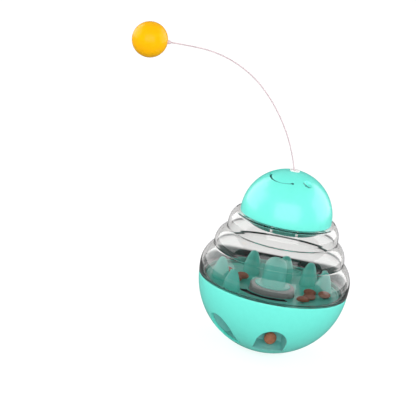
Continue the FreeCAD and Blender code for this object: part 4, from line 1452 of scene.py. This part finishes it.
@dataclass
class Studio:
    """Pale floor, soft boxes and the camera at the photograph's angle, in metres."""

    aim: tuple[float, float, float] = (-0.0670, 0.0142, 0.1114)
    distance: float = 1.9967
    lens: float = 200.0
    elevation: float = 15.5
    roll: float = 10.5
    sight: float = 20.0
    room_light: float = 0.28
    room_in_clear: float = 0.08
    room_tint: tuple[float, float, float, float] = (0.97, 0.98, 1.0, 1)
    room_mirrored: tuple[tuple[float, float], ...] = ((0.05, 0.04), (0.6, 0.35))
    floor_size: float = 12.0
    floor_gap: float = 0.0002
    floor_lift: float = 0.78
    floor_glow: float = 0.22
    floor_tone: float = 0.27
    floor_return: float = 0.8
    floor_mirrored: float = 0.20
    near_floor: tuple[float, float] = (0.30, 0.335)
    backdrop: tuple[float, float] = (-0.6, 0.1)
    sides: float = 0.12
    lit: tuple[float, float, float] = (0, 0, 0.09)
    lamps: tuple[Lamp, ...] = (Lamp("front_box", 0.0, 18.0, 2.9, (3.7, 2.8), 2.70),
                               Lamp("left_box", -112.0, 15.0, 2.4, (3.0, 2.6), 2.2),
                               Lamp("right_box", 112.0, 15.0, 2.4, (3.0, 2.6), 2.2))

    def camera(self) -> None:
        """Set up the camera, rolled so that the upright toy leans as it does in the photograph."""
        tilt, roll = math.radians(self.elevation), math.radians(self.roll)
        forward = Vector((0, math.cos(tilt), -math.sin(tilt)))
        level_up, level_right = Vector((0, math.sin(tilt), math.cos(tilt))), Vector((1, 0, 0))
        right = level_right * math.cos(roll) + level_up * math.sin(roll)
        up = level_up * math.cos(roll) - level_right * math.sin(roll)
        data = bpy.data.cameras.new("camera")
        data.lens, data.clip_end = self.lens, self.sight
        camera = bpy.data.objects.new("camera", data)
        bpy.context.scene.collection.objects.link(camera)
        turn = Matrix((right, up, -forward)).transposed().to_4x4()
        camera.matrix_world = Matrix.Translation(Vector(self.aim) - forward * self.distance) @ turn
        bpy.context.scene.camera = camera

    def floor(self) -> None:
        """Lay a pale floor that shows white to the camera and keeps a faint shadow.

        Through clear plastic it shows white too, but dark close under the toy, as painted shade.
        """
        clear_bench()
        bpy.ops.mesh.primitive_plane_add(size=self.floor_size, location=(0, 0, -self.floor_gap))
        floor = bpy.context.object
        floor.name = "floor"
        material = bpy.data.materials.new("floor_paper")
        material.use_nodes = True
        wiring, paper = Wiring(material.node_tree), material.node_tree.nodes["Principled BSDF"]
        rays = wiring.add("LightPath").outputs
        spot = wiring.add("TexCoord").outputs["Object"]
        # Painted shade: seen through clear plastic, the floor is dark close to the toy and white further
        # away.
        start, end = self.near_floor
        reach = wiring.add("VectorMath", {0: spot}, "LENGTH").outputs["Value"]
        fade = wiring.add("MapRange", {"Value": reach, "From Min": start, "From Max": end,
                                       "To Max": self.floor_lift + self.floor_tone * self.floor_return})
        fade.interpolation_type = "SMOOTHSTEP"
        lift = wiring.work_out("MULTIPLY", rays["Is Camera Ray"], self.floor_lift)
        glow = wiring.work_out("MULTIPLY", rays["Diffuse Depth"], self.floor_glow)
        wiring.feed(paper, {"Base Color": (self.floor_tone, self.floor_tone, self.floor_tone, 1),
                            "Roughness": 0.9, "Specular IOR Level": 0.1, "Emission Color": (1, 1, 1, 1),
                            "Emission Strength": wiring.work_out("ADD", lift, glow)})
        passing = wiring.work_out("SUBTRACT", rays["Is Transmission Ray"], rays["Diffuse Depth"])
        mirrored = wiring.work_out("SUBTRACT", rays["Is Glossy Ray"], rays["Is Transmission Ray"])
        surface = paper.outputs["BSDF"]
        for share, strength in ((passing, fade.outputs["Result"]), (mirrored, self.floor_mirrored)):
            tone = wiring.add("Emission", {"Strength": strength}).outputs["Emission"]
            surface = wiring.mix(share, surface, tone)
        wiring.show(surface)
        floor.data.materials.append(material)

    def world(self) -> None:
        """White behind the toy, dark to its sides; even light on matt surfaces; a darker room in mirrors."""
        world = bpy.data.worlds.new("room")
        bpy.context.scene.world = world
        world.use_nodes = True
        wiring, even = Wiring(world.node_tree), world.node_tree.nodes["Background"]
        rays = wiring.add("LightPath").outputs
        level = wiring.add("MapRange", {"Value": rays["Is Transmission Ray"], "To Min": self.room_light,
                                        "To Max": self.room_in_clear})
        wiring.feed(even, {"Color": self.room_tint, "Strength": level.outputs["Result"]})
        parts = wiring.add("SeparateXYZ", {"Vector": wiring.add("TexCoord").outputs["Generated"]}).outputs
        room = wiring.ramp(parts["Z"], *((height, (tone, tone, tone)) for height, tone in self.room_mirrored))
        start, end = self.backdrop
        behind = wiring.add("MapRange", {"Value": parts["Y"], "From Min": start, "From Max": end,
                                         "To Min": self.sides}).outputs["Result"]
        direct = wiring.work_out("MAXIMUM", rays["Is Camera Ray"], rays["Is Transmission Ray"])
        seen = wiring.work_out("SUBTRACT", direct, rays["Diffuse Depth"])
        reflected = wiring.work_out("SUBTRACT", rays["Is Glossy Ray"], rays["Diffuse Depth"])
        surface = even.outputs["Background"]
        white = {"Color": (1, 1, 1, 1), "Strength": behind}
        for share, inputs in ((reflected, {"Color": room}), (seen, white)):
            surface = wiring.mix(share, surface, wiring.add("Background", inputs).outputs["Background"])
        wiring.show(surface)

    def build(self) -> None:
        """Set the whole studio up."""
        bpy.context.scene.view_settings.view_transform = "Standard"
        self.camera()
        self.floor()
        self.world()
        for lamp in self.lamps:
            lamp.hang(Vector(self.lit))


def main() -> None:
    """Build the studio, dress the plain solids, and build each sub-assembly of the toy."""
    logging.basicConfig(level=logging.INFO, format="%(name)s %(message)s")
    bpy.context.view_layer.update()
    Studio().build()
    layout, shelf = Layout(), Shelf()
    shelf.dress_solids()
    bowl, tray = BaseBowl(layout, shelf), FeederTray(layout, shelf)
    tray_screws = Screws(layout, shelf, "tray_screws", layout.screw_ring, layout.screw_azimuths,
                         tray.screw_seat)
    cover_screws = Screws(layout, shelf, "ballast_screws", bowl.cover_boss[1], bowl.cover_azimuths,
                          bowl.cover_seat)
    for assembly in (bowl, tray, tray_screws, cover_screws, MeteringRotor(layout, shelf),
                     ControlKnob(layout, shelf), Kibble(layout, shelf, tray, bowl), ClearDome(layout, shelf),
                     TopCap(layout, shelf), Wand(layout, shelf)):
        assembly.build()
        LOG.info("%s is finished", type(assembly).__name__)


if __name__ == "__main__":
    main()
